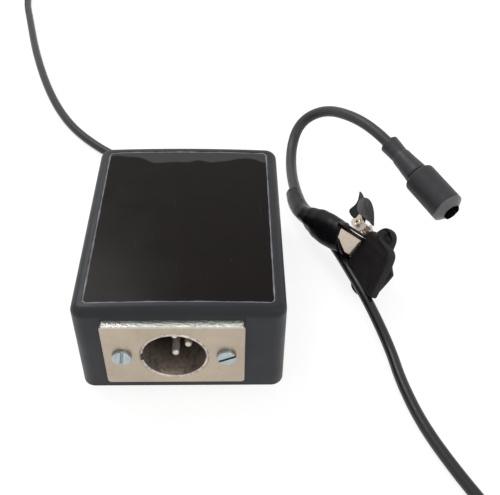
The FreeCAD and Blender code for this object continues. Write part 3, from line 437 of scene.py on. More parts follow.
def nickel_plate(look):
    """Brushed nickel sheet, torn along the upper edge where it was sheared, and painted pale on its
    upward-facing faces: raw sheared metal, and a painted highlight from above.
    """
    f = Finish("nickel_plate", look.plate, 0.34, metallic=1.0)
    f.mottle(0.014, 0.07)
    brushed = f.noise(0.0006, 4.0, f.stretched(1, 1, 0.06))
    f.smudge(0.004, 0.09)
    f.bump(brushed, 0.000012, 0.6)
    f.grain(0.010, 2.0, 0.00008, 0.4)
    # Upward-facing faces are painted pale: partly raw sheared metal, partly a painted highlight from
    # above.
    facing = f.axis("Z", f.tree.nodes["Texture Coordinate"].outputs["Normal"])
    sheared_and_highlit = f.between(facing, 0.6, 0.9)
    f.paint(sheared_and_highlit, (0.78, 0.80, 0.74))
    torn = f.math("MULTIPLY", f.noise(0.0007, 5.0), sheared_and_highlit)
    f.bump(torn, 0.00035, 0.9)
    f.wash(f.between(f.noise(0.0016, 4.0), 0.60, 0.72), 0.22, (0.24, 0.19, 0.14))
    return f.material


def clip_nickel(look):
    """Worn bright nickel on bent sheet."""
    f = Finish("clip_nickel", look.clip, 0.27, metallic=0.9)
    f.mottle(0.006, 0.06).smudge(0.004, 0.05)
    f.grain(0.00025, 2.0, 0.000003, 0.5)
    f.grain(0.0045, 1.0, 0.00010, 0.5)
    f.worn_edges(0.0003, (0.95, 0.92, 0.88), 0.9)
    return f.material


def glossy_sleeve():
    """Shiny black sleeving over the clip's wires."""
    f = Finish("glossy_sleeve", (0.005, 0.005, 0.006), 0.20, specular=0.22)
    f.mottle(0.003, 0.15).smudge(0.002, 0.04)
    f.grain(0.0012, 2.0, 0.00003, 0.4)
    return f.material


def sleeve_rubber(look):
    """Old black rubber, brown and paler where its rims are rubbed."""
    f = Finish("sleeve_rubber", look.rubber, 0.55, specular=0.25)
    f.mottle(0.005, 0.20).smudge(0.004, 0.08)
    f.grain(0.00045, 3.0, 0.00004, 0.6)
    f.grain(0.0032, 2.0, 0.00020, 0.5)
    f.worn_edges(0.0007, (0.085, 0.060, 0.050), 0.55)
    return f.material


def plated(name, tone, roughness, grime=0.3):
    """Bright plating with a fine grain, a little grime, and painted shade in its crevices."""
    f = Finish(name, tone, roughness, metallic=1.0)
    f.mottle(0.002, 0.10).smudge(0.0011, 0.08)
    f.grain(0.00022, 3.0, 0.000010, 0.5)
    f.grain(0.0022, 2.0, 0.00006, 0.5)
    dark = f.between(f.noise(0.0009, 5.0), 0.58, 0.70)
    f.wash(dark, grime, tuple(c * 0.30 for c in tone))
    # Painted shade in slots and corners.
    f.crevice_shade(0.0010, 0.95)
    return f.material


def contact_plating():
    """Silver plate, a little darker towards the root of each pin, deeper in the socket."""
    f = Finish("contact_plating", (0.84, 0.80, 0.70), 0.30, metallic=0.55)
    f.mottle(0.0015, 0.08).smudge(0.001, 0.06)
    f.grain(0.0003, 3.0, 0.000006, 0.5)
    rooted = f.between(f.axis("Y"), *(y * MM for y in PINS_DARKEN))
    f.wash(rooted, 0.6, (0.20, 0.16, 0.12))
    return f.material


def bored_metal():
    """The socket's barrel: turned rings, with painted shade that darkens it with depth."""
    f = Finish("bored_metal", (0.62, 0.54, 0.47), 0.24, metallic=0.75)
    f.mottle(0.003, 0.12)
    f.bump(f.noise(0.0005, 3.0, f.stretched(0.2, 3, 0.2)), 0.00003, 0.7)
    # Painted shade: the barrel darkens deeper inside.
    depth_shade = f.between(f.axis("Y"), *(y * MM for y in BARREL_DARKENS))
    f.wash(depth_shade, 0.75, (0.10, 0.075, 0.065))
    f.wash(f.between(f.noise(0.0013, 5.0), 0.52, 0.60), 0.5, (0.16, 0.14, 0.13))
    return f.material


def rubber(name, tone, roughness, grain=0.0003, depth=0.00003, specular=0.4, dust=0.3):
    """Rubber or soft plastic with a fine grain and a trace of dust."""
    f = Finish(name, tone, roughness, specular=specular)
    f.mottle(0.004, 0.14).smudge(0.0025, 0.07)
    f.grain(grain, 3.0, depth, 0.6)
    f.grain(0.0035, 2.0, 0.00015, 0.35)
    f.shader.inputs["Sheen Weight"].default_value = 0.05 * dust
    dusty = f.between(f.noise(0.0007, 5.0), 0.64, 0.74)
    f.wash(dusty, dust, tuple(min(1, c * 3 + 0.02) for c in tone))
    return f.material


def painted_housing(look):
    """Dull paint over metal, with a few dust specks."""
    f = Finish("painted_housing", look.housing, 0.52, specular=0.4)
    f.mottle(0.004, 0.10).smudge(0.003, 0.06)
    f.grain(0.00018, 3.0, 0.00002, 0.8)
    f.worn_edges(0.00035, (0.13, 0.13, 0.135), 0.5)
    f.specks(0.0016, 0.05, (0.16, 0.16, 0.165))
    return f.material


def acoustic_cloth():
    """Fine black cloth with a diagonal weave."""
    f = Finish("acoustic_cloth", (0.0012, 0.0012, 0.0013), 1.0, specular=0.02)
    weave = f.texture("Wave", 900, wave_type="BANDS", bands_direction="DIAGONAL")
    f.mottle(0.0006, 0.4).bump(weave.outputs["Fac"], 0.0001, 0.8)
    return f.material


def solder_mask():
    """Green lacquer over the board's tracks."""
    f = Finish("solder_mask", (0.02, 0.14, 0.06), 0.35)
    tracks = f.texture("Brick", 260)
    tracks.inputs["Mortar Size"].default_value = 0.08
    f.mottle(0.004, 0.15).paint(tracks.outputs["Fac"], (0.06, 0.26, 0.10))
    f.bump(tracks.outputs["Fac"], 0.00004, 0.8)
    return f.material


def banded_resistor():
    """Beige body with colour bands across its length."""
    f = Finish("banded_resistor", (0.58, 0.44, 0.26), 0.4)
    f.mottle(0.001, 0.12)
    along = f.axis("X")
    bands = ((0.0106, (0.22, 0.07, 0.03)), (0.0118, (0.01, 0.01, 0.01)),
             (0.0130, (0.55, 0.03, 0.02)), (0.0146, (0.50, 0.34, 0.08)))
    for centre, tone in bands:
        offset = f.math("ABSOLUTE", f.math("SUBTRACT", along, centre))
        f.paint(f.between(offset, 0.00030, 0.00022), tone)
    f.grain(0.0003, 3.0, 0.00002, 0.5)
    return f.material


def component(name, tone, roughness, stripe=None):
    """Moulded or sleeved component."""
    f = Finish(name, tone, roughness)
    f.mottle(0.002, 0.15).smudge(0.001, 0.06)
    if stripe:
        bands = f.texture("Wave", 60, wave_type="BANDS", bands_direction="X")
        f.paint(f.between(bands.outputs["Fac"], 0.90, 0.94), stripe)
    f.grain(0.0003, 3.0, 0.00002, 0.6)
    return f.material


def dress(material, *nodes):
    """Gives CAD nodes a material."""
    for name in nodes:
        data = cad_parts[name].data
        data.materials.clear()
        data.materials.append(material)


# ---- mesh ----
def put(name, mesh, material):
    """Links a mesh as a piece with its material."""
    mesh.shade_smooth()
    mesh.materials.append(material)
    piece = bpy.data.objects.new(name, mesh)
    bpy.context.scene.collection.objects.link(piece)
    return piece


def ringed_mesh(name, rings, closed_ends=True):
    """A skin over rings that have the same number of points."""
    made = bmesh.new()
    rows = [[made.verts.new(p) for p in ring] for ring in rings]
    count = len(rows[0])
    for low, high in zip(rows, rows[1:]):
        for i in range(count):
            j = (i + 1) % count
            made.faces.new((low[i], low[j], high[j], high[i]))
    if closed_ends:
        for row, flip in ((rows[0], True), (rows[-1], False)):
            centre = made.verts.new(sum((v.co for v in row), Vector()) / count)
            for i in range(count):
                pair = (row[i], row[(i + 1) % count])
                made.faces.new((*(reversed(pair) if flip else pair), centre))
    bmesh.ops.recalc_face_normals(made, faces=made.faces)
    for row in (rows[0], rows[-1]):
        for i in range(count):
            rim = made.edges.get((row[i], row[(i + 1) % count]))
            rim.smooth = not closed_ends
    mesh = bpy.data.meshes.new(name)
    made.to_mesh(mesh)
    made.free()
    return mesh


def closed_outline(points, count):
    """A closed line with its corners cut round twice, divided evenly."""
    line = [Vector(p).to_2d() for p in points]
    for _ in range(2):
        line = [a.lerp(b, t) for a, b in zip(line, line[1:] + line[:1]) for t in (0.25, 0.75)]
    line.append(line[0])
    steps = [(b - a).length for a, b in zip(line, line[1:])]
    spacing = sum(steps) / count
    result, travelled, i = [], 0.0, 0
    for k in range(count):
        while travelled + steps[i] < k * spacing:
            travelled += steps[i]
            i += 1
        result.append(line[i].lerp(line[i + 1], (k * spacing - travelled) / steps[i]))
    return result


def slab_mesh(name, outline, low, high, edge, place, form):
    """A slab with rounded rims over an outline. form moves each point's height."""
    rim = closed_outline(outline, SLAB_POINTS)
    middle = sum(rim, Vector((0, 0))) / SLAB_POINTS
    inward = []
    for i, point in enumerate(rim):
        along = rim[(i + 1) % SLAB_POINTS] - rim[i - 1]
        normal = Vector((-along.y, along.x)).normalized()
        inward.append(normal if normal.dot(middle - point) > 0 else -normal)
    shares = [0.06 + 0.94 * k / 16 for k in range(16)]
    quarter = [math.pi / 2 * k / 5 for k in range(6)]
    levels = [(t, edge, low) for t in shares]
    levels += [(1, edge * (1 - math.sin(a)), low + edge * (1 - math.cos(a))) for a in quarter]
    levels += [(1, edge * (1 - math.cos(a)), high - edge * (1 - math.sin(a))) for a in quarter]
    levels += [(t, edge, high) for t in reversed(shares)]
    rings = []
    for share_out, inset, height in levels:
        ring = []
        for point, turn_in in zip(rim, inward):
            flat = middle.lerp(point + turn_in * inset, share_out)
            rise = (height - low) / (high - low)
            ring.append(place(flat.x, flat.y, form(flat.x, flat.y, height, rise, share_out)))
        rings.append(ring)
    mesh = ringed_mesh(name, rings)
    for line in mesh.edges:
        line.use_edge_sharp = False
    return mesh


def hollow(x, y, centre_x, centre_y, spread_x, spread_y):
    """One in the middle of a dent, fading to nothing round it."""
    return math.exp(-((x - centre_x) / spread_x) ** 2 - ((y - centre_y) / spread_y) ** 2)


def turns(count=SIDES):
    """Angles evenly round a circle."""
    return [2 * math.pi * k / count for k in range(count)]


def across(direction):
    """Two directions square to one."""
    side = UP if abs(direction.z) < 0.9 else Vector((1, 0, 0))
    first = side.cross(direction).normalized()
    return first, direction.cross(first).normalized()


def smooth_line(points, resolution=12):
    """Closely spaced points of the smooth curve through a route."""
    data = bpy.data.curves.new("line", "CURVE")
    fill_spline(data, points)
    data.splines[0].resolution_u = resolution
    holder = bpy.data.objects.new("line", data)
    bpy.context.scene.collection.objects.link(holder)
    mesh = bpy.data.meshes.new_from_object(holder)
    line = [v.co.copy() for v in mesh.vertices]
    bpy.data.objects.remove(holder)
    bpy.data.curves.remove(data)
    bpy.data.meshes.remove(mesh)
    return line


def fill_spline(data, points):
    data.dimensions = "3D"
    spline = data.splines.new("NURBS")
    spline.points.add(len(points) - 1)
    for target, point in zip(spline.points, points):
        target.co = (*(Vector(point) * MM), 1)
    spline.order_u = 3
    spline.use_endpoint_u = True
    spline.resolution_u = 12


def swept_rings(line, radius, count=SIDES):
    """Rings square to a line, carried along it without twisting."""
    rings = []
    side = None
    for i, point in enumerate(line):
        ahead = (line[min(i + 1, len(line) - 1)] - line[max(i - 1, 0)]).normalized()
        if side is None:
            side = across(ahead)[0]
        side = (side - ahead * side.dot(ahead)).normalized()
        up = ahead.cross(side)
        reach = radius * MM
        rings.append([point + side * math.cos(t) * reach + up * math.sin(t) * reach
                      for t in turns(count)])
    return rings


def turned_rings(profile):
    """Rings about the capsule's axis, from pairs of radius and distance in millimetres."""
    first, second = across(HEAD_AXIS)
    return [[at_head(distance) + (first * math.cos(t) + second * math.sin(t)) * radius * MM
             for t in turns()] for radius, distance in profile]


# ---- cable ----
def coil_turns():
    """The put-away turns: the lower layer winds inwards, the upper layer winds back out."""
    points = []
    for angle in COIL_ANGLES:
        held = max(0, angle)
        for (a, column_a, layer_a), (b, column_b, layer_b) in zip(COIL_PLAN, COIL_PLAN[1:]):
            if a <= held <= b:
                t = (held - a) / (b - a)
                column = column_a + (column_b - column_a) * t
                layer = layer_a + (layer_b - layer_a) * t
        radius = COIL_INNER + COIL_PITCH * column
        turn = math.radians(angle)
        points.append((COIL_CENTRE[0] + radius * math.cos(turn),
                       COIL_CENTRE[1] + radius * math.sin(turn),
                       ON_TABLE + COIL_PITCH * layer))
    return points


class MIC_OT_cable(bpy.types.Operator):
    """Lays the cable from the case, through its put-away coil, to the clip"""
    bl_idname = "mic.cable"
    bl_label = "Cable"

    def execute(self, context):
        look = context.scene.mic_cable
        jacket = rubber("cable_jacket", look.jacket, look.roughness, 0.0005, 0.00002, 0.45, 0.15)
        data = bpy.data.curves.new("cable", "CURVE")
        route = CASE_SIDE_ROUTE + coil_turns() + [COIL_LEAD_OUT] + MIC_SIDE_ROUTE
        fill_spline(data, route)
        data.bevel_depth = look.radius
        data.bevel_resolution = 7
        data.use_fill_caps = True
        data.materials.append(jacket)
        cable = bpy.data.objects.new("cable", data)
        context.scene.collection.objects.link(cable)
        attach(cable, "root")
        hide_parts("cable_case_side", "cable_coil", "cable_mic_side")
        line = smooth_line(route)
        dress(jacket, "inner_lead")
        return {"FINISHED"}


# ---- neck and capsule ----
class MIC_OT_neck(bpy.types.Operator):
    """Sheathes the bendable neck, which turns smoothly at each of its joints"""
    bl_idname = "mic.neck"
    bl_label = "Neck"

    def execute(self, context):
        look = context.scene.mic_microphone
        sheath = rubber("neck_sheath", look.neck, 0.40, 0.00035, 0.00002, 0.4, 0.2)
        route = NECK_ROUTE + [tuple(HEAD_START + 4 * HEAD_AXIS)]
        line = smooth_line(route, 24)
        bends = [Vector(b) * MM for b in NECK_BENDS]
        nearest = [min(range(len(line)), key=lambda i: (line[i] - b).length) for b in bends]
        cuts = [0, (nearest[0] + nearest[1]) // 2, (nearest[1] + nearest[2]) // 2, len(line) - 1]
        rings = swept_rings(line, NECK_RADIUS)
        nodes = [("neck_root",), ("neck_bend",), ("neck_span", "neck_tip")]
        for number in range(3):
            part = rings[cuts[number]:cuts[number + 1] + 1]
            mesh = ringed_mesh("neck_sheath_%d" % (number + 1), part)
            piece = put("neck_sheath_%d" % (number + 1), mesh, sheath)
            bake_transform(piece)
            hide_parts(*nodes[number])
        return {"FINISHED"}


def foam_rings():
    """A torn disc of foam that bulges out of the capsule's mouth."""
    rings = []
    for ring in turned_rings(FOAM):
        centre = sum(ring, Vector()) / len(ring)
        torn = []
        for turn, point in zip(turns(), ring):
            reach = 1 + 0.05 * math.sin(3 * turn + 0.5) + 0.03 * math.sin(7 * turn + 2)
            torn.append(centre + (point - centre) * reach)
        rings.append(torn)
    return rings


class MIC_OT_capsule(bpy.types.Operator):
    """Finishes the capsule: its sleeve, boot, housing, ring and inside parts"""
    bl_idname = "mic.capsule"
    bl_label = "Capsule"

    def execute(self, context):
        look = context.scene.mic_microphone
        sheath = rubber("boot_rubber", look.neck, 0.42, 0.0003, 0.00003, 0.4, 0.2)
        boot = put("boot", ringed_mesh("boot", turned_rings(BOOT)), sheath)
        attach(boot, "head")
        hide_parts("neck_sleeve", "capsule_boot")
        dress(painted_housing(look), "capsule_housing")
        ring = Finish("front_ring", look.ring, 0.36, specular=0.5)
        ring.mottle(0.002, 0.10).grain(0.0003, 3.0, 0.00002, 0.6)
        ring.worn_edges(0.0003, (0.30, 0.29, 0.29), 0.5)
        dress(ring.material, "capsule_front_ring")
        foam = put("mouth_foam", ringed_mesh("mouth_foam", foam_rings()), acoustic_cloth())
        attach(foam, "head")
        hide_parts("capsule_screen")
        dress(plated("can_aluminium", (0.75, 0.75, 0.76), 0.25), "electret_capsule")
        dress(rubber("holder_rubber", (0.02, 0.02, 0.02), 0.6), "capsule_holder")
        return {"FINISHED"}


# ---- clip ----
def fixed_form(x, y, z, rise, share_out):
    """Nearly flat, with shallow waves pressed into the rubber and a rolled rim."""
    fall = 0.25 * max(0, (y - 3) / 6) ** 2
    waves = 0.08 * math.sin(0.9 * x + 0.6 * y) + 0.06 * math.sin(1.7 * y - 0.5 * x)
    rim = 0.22 * hollow(x, y, 14.5, 8.0, 5.0, 0.9)
    fold = 0.5 * hollow(x, y, 6.9, 8.2, 0.9, 1.2)
    return z + rise * (waves * share_out + rim - fall - fold)


def free_form(x, y, z, rise, share_out):
    """Two cupped lobes that stand out past the fixed sleeve."""
    cup = 1.9 * hollow(x, y, 9.0, 9.0, 2.4, 1.2) + 1.2 * hollow(x, y, 12.4, -11.6, 3.0, 1.2)
    ridge = 0.45 * hollow(x, y, 6.2, 9.4, 0.7, 2.5) - 0.5 * hollow(x, y, 10.4, 10.4, 1.2, 0.8)
    lift = 1.1 * max(0, min(1, (x - 14) / 6)) * (1 - rise)
    return z - rise * (cup * share_out + ridge) + lift


def rear_blade_form(x, y, z, rise, share_out):
    """Cupped, and curled back at its far corner."""
    return z + 0.06 * (y + 0.8) ** 2 - 0.35 - 0.25 * hollow(x, y, 22.0, -1.0, 5.0, 2.0)


def front_blade_form(x, y, z, rise, share_out):
    """Bulges like the back of a spoon, with a fold down one side."""
    fold = 0.30 * hollow(0.12 * x, y, 1.7, 5.6, 2.0, 0.5)
    return z + 1.0 * (1 - share_out ** 2) - fold


def bracket_form(x, y, z, rise, share_out):
    """Pressed up a little round the rivet."""
    return z + 0.25 * hollow(x, y, RIVET[0], RIVET[1], 2.4, 2.4) * rise


def rivet_rings():
    """A rolled rivet: a raised ring round a shallow cup, standing on the free lever."""
    profile = ((1.95, 0.90), (2.00, 1.45), (1.80, 1.75), (1.40, 1.80), (1.10, 1.60), (0.95, 1.20),
               (0.50, 1.12), (0.10, 1.14))
    return [[on_lever(RIVET[0] + radius * math.cos(t), RIVET[1] + radius * math.sin(t), height)
             for t in turns()] for radius, height in profile]


def shrink_mesh(name):
    """The tube shrunk tight over the neck's root and wide over the clip's lever."""
    line = smooth_line([centre for centre, _, _ in SHRINK_STATIONS], 8)
    total = len(line) - 1
    lever = CLIP_TURN @ Vector((0, 1, 0))
    rings = []
    for i, point in enumerate(line):
        ahead = (line[min(i + 1, total)] - line[max(i - 1, 0)]).normalized()
        wide = (lever - ahead * lever.dot(ahead)).normalized()
        thin = ahead.cross(wide)
        part = i / total * (len(SHRINK_STATIONS) - 1)
        before = min(int(part), len(SHRINK_STATIONS) - 2)
        t = part - before
        t = t * t * (3 - 2 * t)
        first, second = SHRINK_STATIONS[before], SHRINK_STATIONS[before + 1]
        half_width = first[1] + (second[1] - first[1]) * t
        half_depth = first[2] + (second[2] - first[2]) * t
        along = i / total
        ring = []
        for turn in turns(2 * SIDES):
            wrinkle = 0.16 * math.sin(5 * turn + 9 * along) * math.sin(math.pi * along) ** 2
            pleat = 0.30 * math.exp(-((along - 0.44) / 0.05) ** 2) * max(0, math.cos(turn - 0.4))
            reach = 1 + (wrinkle + pleat) / 4
            ring.append(point + (wide * math.cos(turn) * half_width * reach
                                 + thin * math.sin(turn) * half_depth * reach) * MM)
        rings.append(ring)
    back = (line[-1] - line[-4]).normalized()
    for inset, depth in ((0.93, 0.12), (0.86, 0.0), (0.84, -1.5), (0.80, -3.0)):
        centre = line[-1] + back * depth * MM
        rings.append([centre + (p - line[-1]) * inset for p in rings[total]])
    front = (line[0] - line[3]).normalized()
    lead = []
    for inset, depth in ((0.76, -0.6), (0.78, 0.0), (0.90, 0.14)):
        lead.append([line[0] + front * depth * MM + (p - line[0]) * inset for p in rings[0]])
    return ringed_mesh(name, lead + rings)


class MIC_OT_clip(bpy.types.Operator):
    """Finishes the clip's metal, its spring and its rubber sleeves"""
    bl_idname = "mic.clip"
    bl_label = "Clip"

    def execute(self, context):
        look = context.scene.mic_microphone
        nickel = clip_nickel(look)
        dress(nickel, "clip_fixed_half", "clip_free_half", "clip_pivot_pin")
        plate = put("lever_bracket", slab_mesh("lever_bracket", BRACKET, 0.3, 1.1, 0.15, on_lever,
                                               bracket_form), nickel)
        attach(plate, "jaw")
        sleeving = glossy_sleeve()
        steel = plated("spring_steel", (0.80, 0.78, 0.74), 0.22)
        dress(steel, "clip_spring")
        wires = [("sleeved_wire_1", *SLEEVED_WIRES[0], sleeving, "shrink_black"),
                 ("sleeved_wire_2", *SLEEVED_WIRES[1], sleeving, "shrink_black"),
                 ("spring_leg", SPRING_LEG_RADIUS, SPRING_LEG, steel, "spring_steel")]
        for name, radius, route, finish, slot in wires:
            line = smooth_line([tuple(on_fixed_lever(*p) / MM) for p in route], 10)
            rings = swept_rings(line, radius, count=24)
            wire = put(name, ringed_mesh(name, rings), finish)
            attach(wire, "root")
        rivet = put("lever_rivet", ringed_mesh("lever_rivet", rivet_rings()), nickel)
        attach(rivet, "jaw")
        black = sleeve_rubber(look)
        grey = rubber("lever_rubber", look.lever, 0.48, 0.0004, 0.00004, 0.22, 0.10)
        # The rear blade gets a darker copy of the lever's rubber: painted shade, where it lies under
        # the front blade.
        dark = rubber("lever_rubber_painted_shade", (0.003, 0.003, 0.0035), 0.55, 0.0004, 0.00004, 0.12, 0.0)
        shrunk = rubber("shrink_tube", look.shrink, 0.30, 0.0007, 0.00002, 0.16, 0.0)
        pieces = (
            ("fixed_sleeve", FIXED_SLEEVE, 0.15, 3.4, 0.6, in_clip, fixed_form, black,
             "sleeve_rubber", "root", "fixed_jaw_sleeve"),
            ("free_sleeve", FREE_SLEEVE, -3.15, -0.15, 0.8, in_clip, free_form, black,
             "sleeve_rubber", "jaw", "free_jaw_sleeve"),
            # The rear blade takes the darker copy of the lever rubber: painted shade.
            ("lever_rear_blade", REAR_BLADE, -1.1, -0.4, 0.3, on_lever, rear_blade_form, dark,
             "lever_rubber", "jaw", "lever_sleeve"),
            ("lever_front_blade", FRONT_BLADE, 0.45, 1.15, 0.3, on_lever, front_blade_form, grey,
             "lever_rubber", "jaw", "lever_sleeve"),
        )
        for name, outline, low, high, edge, place, form, finish, slot, body, node in pieces:
            piece = put(name, slab_mesh(name, outline, low, high, edge, place, form), finish)
            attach(piece, body)
            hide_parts(node)
        piece = put("lever_shrink", shrink_mesh("lever_shrink"), shrunk)
        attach(piece, "root")
        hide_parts("clip_shrink")
        return {"FINISHED"}


# ---- module ----
def label_bead_mesh(name):
    """A thin uneven bead round the label, following the lid's crown."""
    line = []
    for sign_x, sign_y, quarter in ((1, 1, 0), (-1, 1, 1), (-1, -1, 2), (1, -1, 3)):
        centre = (sign_x * (LABEL_HALF[0] - LABEL_CORNER), sign_y * (LABEL_HALF[1] - LABEL_CORNER))
        for k in range(7):
            turn = math.pi / 2 * (quarter + k / 6)
            line.append((centre[0] + LABEL_CORNER * math.cos(turn),
                         centre[1] + LABEL_CORNER * math.sin(turn)))
    steps = []
    for a, b in zip(line, line[1:] + line[:1]):
        parts = max(1, round((Vector(b) - Vector(a)).length / BEAD_SPACING))
        steps += [Vector(a).lerp(Vector(b), k / parts) for k in range(parts)]
    rings = []
    total = len(steps)
    for i, point in enumerate(steps):
        ahead = (steps[(i + 1) % total] - steps[i - 1]).normalized()
        out = Vector((ahead.y, -ahead.x))
        height = LABEL_TOP - point.x ** 2 / (2 * CROWN_RADIUS)
        swell = BEAD_RADIUS + 0.05 * math.sin(0.37 * i) + 0.03 * math.sin(1.13 * i + 1)
        ring = []
        for turn in turns(BEAD_SIDES):
            flat = point + out * math.cos(turn) * swell * BEAD_FLATNESS
            ring.append(mm(flat.x, flat.y, height + 0.02 + math.sin(turn) * swell))
        rings.append(ring)
    return ringed_mesh(name, rings + rings[:1], False)


class MIC_OT_module(bpy.types.Operator):
    """Finishes the powering module: case, label, faceplate and socket"""
    bl_idname = "mic.module"
    bl_label = "Powering module"

    def execute(self, context):
        look = context.scene.mic_module
        dress(moulded_plastic(look), "case_shell", "case_base")
        dress(label_film(look), "label_panel")
        # The bead round the label is coloured pale: a painted highlight.
        bead = put("label_edge_highlight", label_bead_mesh("label_edge_highlight"), label_bead_highlight(look))
        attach(bead, "root")
        dress(nickel_plate(look), "faceplate")
        dress(plated("zinc_screw", (0.40, 0.47, 0.48), 0.30, 0.35), "faceplate_screws",
              "case_screws", "board_screws")
        dress(bored_metal(), "socket_shell")
        dress(component("socket_insulator", (0.012, 0.010, 0.009), 0.45), "socket_insulator")
        dress(contact_plating(), "contact_pin_1", "contact_pin_2", "contact_pin_3")
        dress(rubber("grommet_rubber", (0.02, 0.02, 0.02), 0.55), "cable_grommet")
        return {"FINISHED"}


class MIC_OT_electronics(bpy.types.Operator):
    """Finishes the circuit board and what is on it, inside the case"""
    bl_idname = "mic.electronics"
    bl_label = "Electronics"

    def execute(self, context):
        dress(solder_mask(), "circuit_board")
        dress(component("capacitor_sleeve", (0.02, 0.04, 0.12), 0.3, (0.6, 0.6, 0.62)),
              "coupling_capacitors", "filter_capacitor")
        dress(component("transistor_body", (0.015, 0.015, 0.017), 0.35), "transistor")
        dress(banded_resistor(), "resistors")
        dress(component("terminal_body", (0.04, 0.20, 0.09), 0.4), "terminal_block")
        dress(component("wire_sheath", (0.45, 0.03, 0.02), 0.4), "socket_wires")
        dress(component("tie_nylon", (0.02, 0.02, 0.02), 0.45), "cable_tie")
        return {"FINISHED"}


# ---- studio ----
CAMERA_PLACE = (14.891, -178.347, 195.828)
CAMERA_YAW, CAMERA_PITCH, CAMERA_ROLL = 0.039, 0.769, 0.027
CAMERA_LENS = 52.416
SENSOR = 36.0
LAMP_TARGET = (0.02, 0.02, 0.01)
# Each lamp's place and width, in metres.
KEY_LAMP = ((-0.30, 0.40, 0.70), 0.45)
FILL_LAMP = ((0.45, -0.45, 0.55), 0.50)
FLOOR_HALF_SIZE = 3.0
FLOOR_DROP = 0.0001
FLOOR_TONE_SEEN = (0.38, 0.38, 0.38)
FLOOR_LIFT = 0.80


def make_camera(scene):
    """A camera that looks down on the object, rolled a little."""
    ahead = Vector((math.sin(CAMERA_YAW) * math.cos(CAMERA_PITCH),
                    math.cos(CAMERA_YAW) * math.cos(CAMERA_PITCH), -math.sin(CAMERA_PITCH)))
    right = Vector((math.cos(CAMERA_YAW), -math.sin(CAMERA_YAW), 0))
    up = right.cross(ahead)
    c, s = math.cos(CAMERA_ROLL), math.sin(CAMERA_ROLL)
    right, up = c * right + s * up, c * up - s * right
    data = bpy.data.cameras.new("camera")
    data.lens = CAMERA_LENS
    data.sensor_width = SENSOR
    data.sensor_fit = "HORIZONTAL"
    data.clip_start = 0.01
    data.clip_end = 20
    camera = bpy.data.objects.new("camera", data)
    turn = Matrix((right, up, -ahead)).transposed().to_4x4()
    camera.matrix_world = Matrix.Translation(mm(*CAMERA_PLACE)) @ turn
    scene.collection.objects.link(camera)
    scene.camera = camera


def make_lamp(scene, name, place, size, power):
    data = bpy.data.lights.new(name, "AREA")
    data.shape = "DISK"
    data.size = size
    data.energy = power
    lamp = bpy.data.objects.new(name, data)
    lamp.location = place
    lamp.rotation_euler = (Vector(LAMP_TARGET) - Vector(place)).to_track_quat("-Z", "Y").to_euler()
    scene.collection.objects.link(lamp)


def seen_directly(tree):
    """One for rays from the camera, from glossy and from clear surfaces."""
    path = tree.nodes.new("ShaderNodeLightPath")
    total = path.outputs["Is Camera Ray"]
    for name in ("Is Glossy Ray", "Is Transmission Ray"):
        larger = tree.nodes.new("ShaderNodeMath")
        larger.operation = "MAXIMUM"
        tree.links.new(total, larger.inputs[0])
        tree.links.new(path.outputs[name], larger.inputs[1])
        total = larger.outputs[0]
    return total


def mix_where_seen(tree, elsewhere, seen, target):
    """Feeds target one shader where it is seen directly and another elsewhere."""
    mix = tree.nodes.new("ShaderNodeMixShader")
    for source, socket in zip((seen_directly(tree), elsewhere, seen), mix.inputs):
        tree.links.new(source, socket)
    tree.links.new(mix.outputs[0], target)


def make_world(scene, look):
    world = bpy.data.worlds.new("sky")
    world.use_nodes = True
    scene.world = world
    tree = world.node_tree
    plain = tree.nodes["Background"]
    plain.inputs["Strength"].default_value = look.sky
    plain.inputs["Color"].default_value = (1, 1, 1, 1)
    white = tree.nodes.new("ShaderNodeBackground")
    white.inputs["Color"].default_value = (1, 1, 1, 1)
    mix_where_seen(tree, plain.outputs[0], white.outputs[0],
                   tree.nodes["World Output"].inputs["Surface"])


def floor_material(look):
    """Pale card that keeps the object's shadow where it is seen directly."""
    material = bpy.data.materials.new("floor_card")
    material.use_nodes = True
    tree = material.node_tree
    tree.nodes.remove(tree.nodes["Principled BSDF"])
    output = tree.nodes["Material Output"]
    card = tree.nodes.new("ShaderNodeBsdfDiffuse")
    card.inputs["Color"].default_value = (*look.floor, 1)
    half = tree.nodes.new("ShaderNodeBsdfDiffuse")
    half.inputs["Color"].default_value = (*FLOOR_TONE_SEEN, 1)
    lift = tree.nodes.new("ShaderNodeEmission")
    lift.inputs["Strength"].default_value = FLOOR_LIFT
    lightened = tree.nodes.new("ShaderNodeAddShader")
    tree.links.new(half.outputs[0], lightened.inputs[0])
    tree.links.new(lift.outputs[0], lightened.inputs[1])
    mix_where_seen(tree, card.outputs[0], lightened.outputs[0], output.inputs["Surface"])
    return material


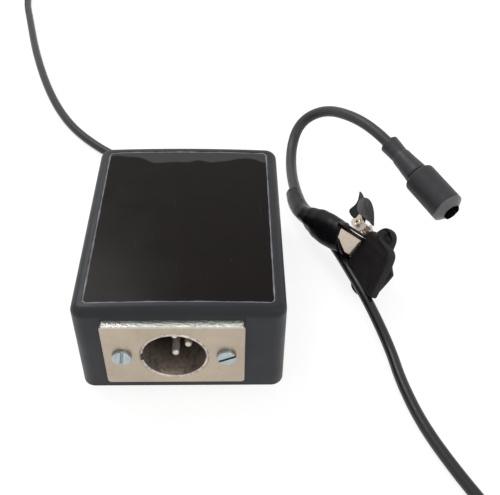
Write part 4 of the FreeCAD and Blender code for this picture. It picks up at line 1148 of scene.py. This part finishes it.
class MIC_OT_stage(bpy.types.Operator):
    """Sets the camera, the pale floor and the plain soft light"""
    bl_idname = "mic.stage"
    bl_label = "Stage"

    def execute(self, context):
        scene = context.scene
        look = scene.mic_studio
        make_camera(scene)
        made = bmesh.new()
        bmesh.ops.create_grid(made, x_segments=8, y_segments=8, size=FLOOR_HALF_SIZE)
        mesh = bpy.data.meshes.new("floor")
        made.to_mesh(mesh)
        made.free()
        mesh.materials.append(floor_material(look))
        floor = bpy.data.objects.new("floor", mesh)
        floor.location.z = -FLOOR_DROP
        scene.collection.objects.link(floor)
        make_lamp(scene, "key", *KEY_LAMP, look.key_power)
        make_lamp(scene, "fill", *FILL_LAMP, look.fill_power)
        make_world(scene, look)
        scene.view_settings.view_transform = "Standard"
        return {"FINISHED"}


# ---- add-on ----
STEPS = (MIC_OT_stage, MIC_OT_cable, MIC_OT_neck, MIC_OT_capsule, MIC_OT_clip, MIC_OT_module,
         MIC_OT_electronics)
LOOKS = {"mic_module": ModuleLook, "mic_cable": CableLook, "mic_microphone": MicrophoneLook,
         "mic_studio": StudioLook}


class MIC_PT_panel(bpy.types.Panel):
    """Lists the microphone's steps and what may be changed"""
    bl_idname = "MIC_PT_panel"
    bl_label = "Clip-on microphone"
    bl_space_type = "VIEW_3D"
    bl_region_type = "UI"
    bl_category = "Microphone"

    def draw(self, context):
        for step in STEPS:
            self.layout.operator(step.bl_idname)
        for name, group in LOOKS.items():
            box = self.layout.box()
            for prop in group.__annotations__:
                box.prop(getattr(context.scene, name), prop)


def register():
    for cls in (*LOOKS.values(), *STEPS, MIC_PT_panel):
        bpy.utils.register_class(cls)
    for name, group in LOOKS.items():
        setattr(bpy.types.Scene, name, bpy.props.PointerProperty(type=group))


def unregister():
    for name in LOOKS:
        delattr(bpy.types.Scene, name)
    for cls in reversed((*LOOKS.values(), *STEPS, MIC_PT_panel)):
        bpy.utils.unregister_class(cls)


def main():
    register()
    for step in STEPS:
        group, name = step.bl_idname.split(".")
        getattr(getattr(bpy.ops, group), name)()
    bpy.context.view_layer.update()


if __name__ == "__main__":
    main()
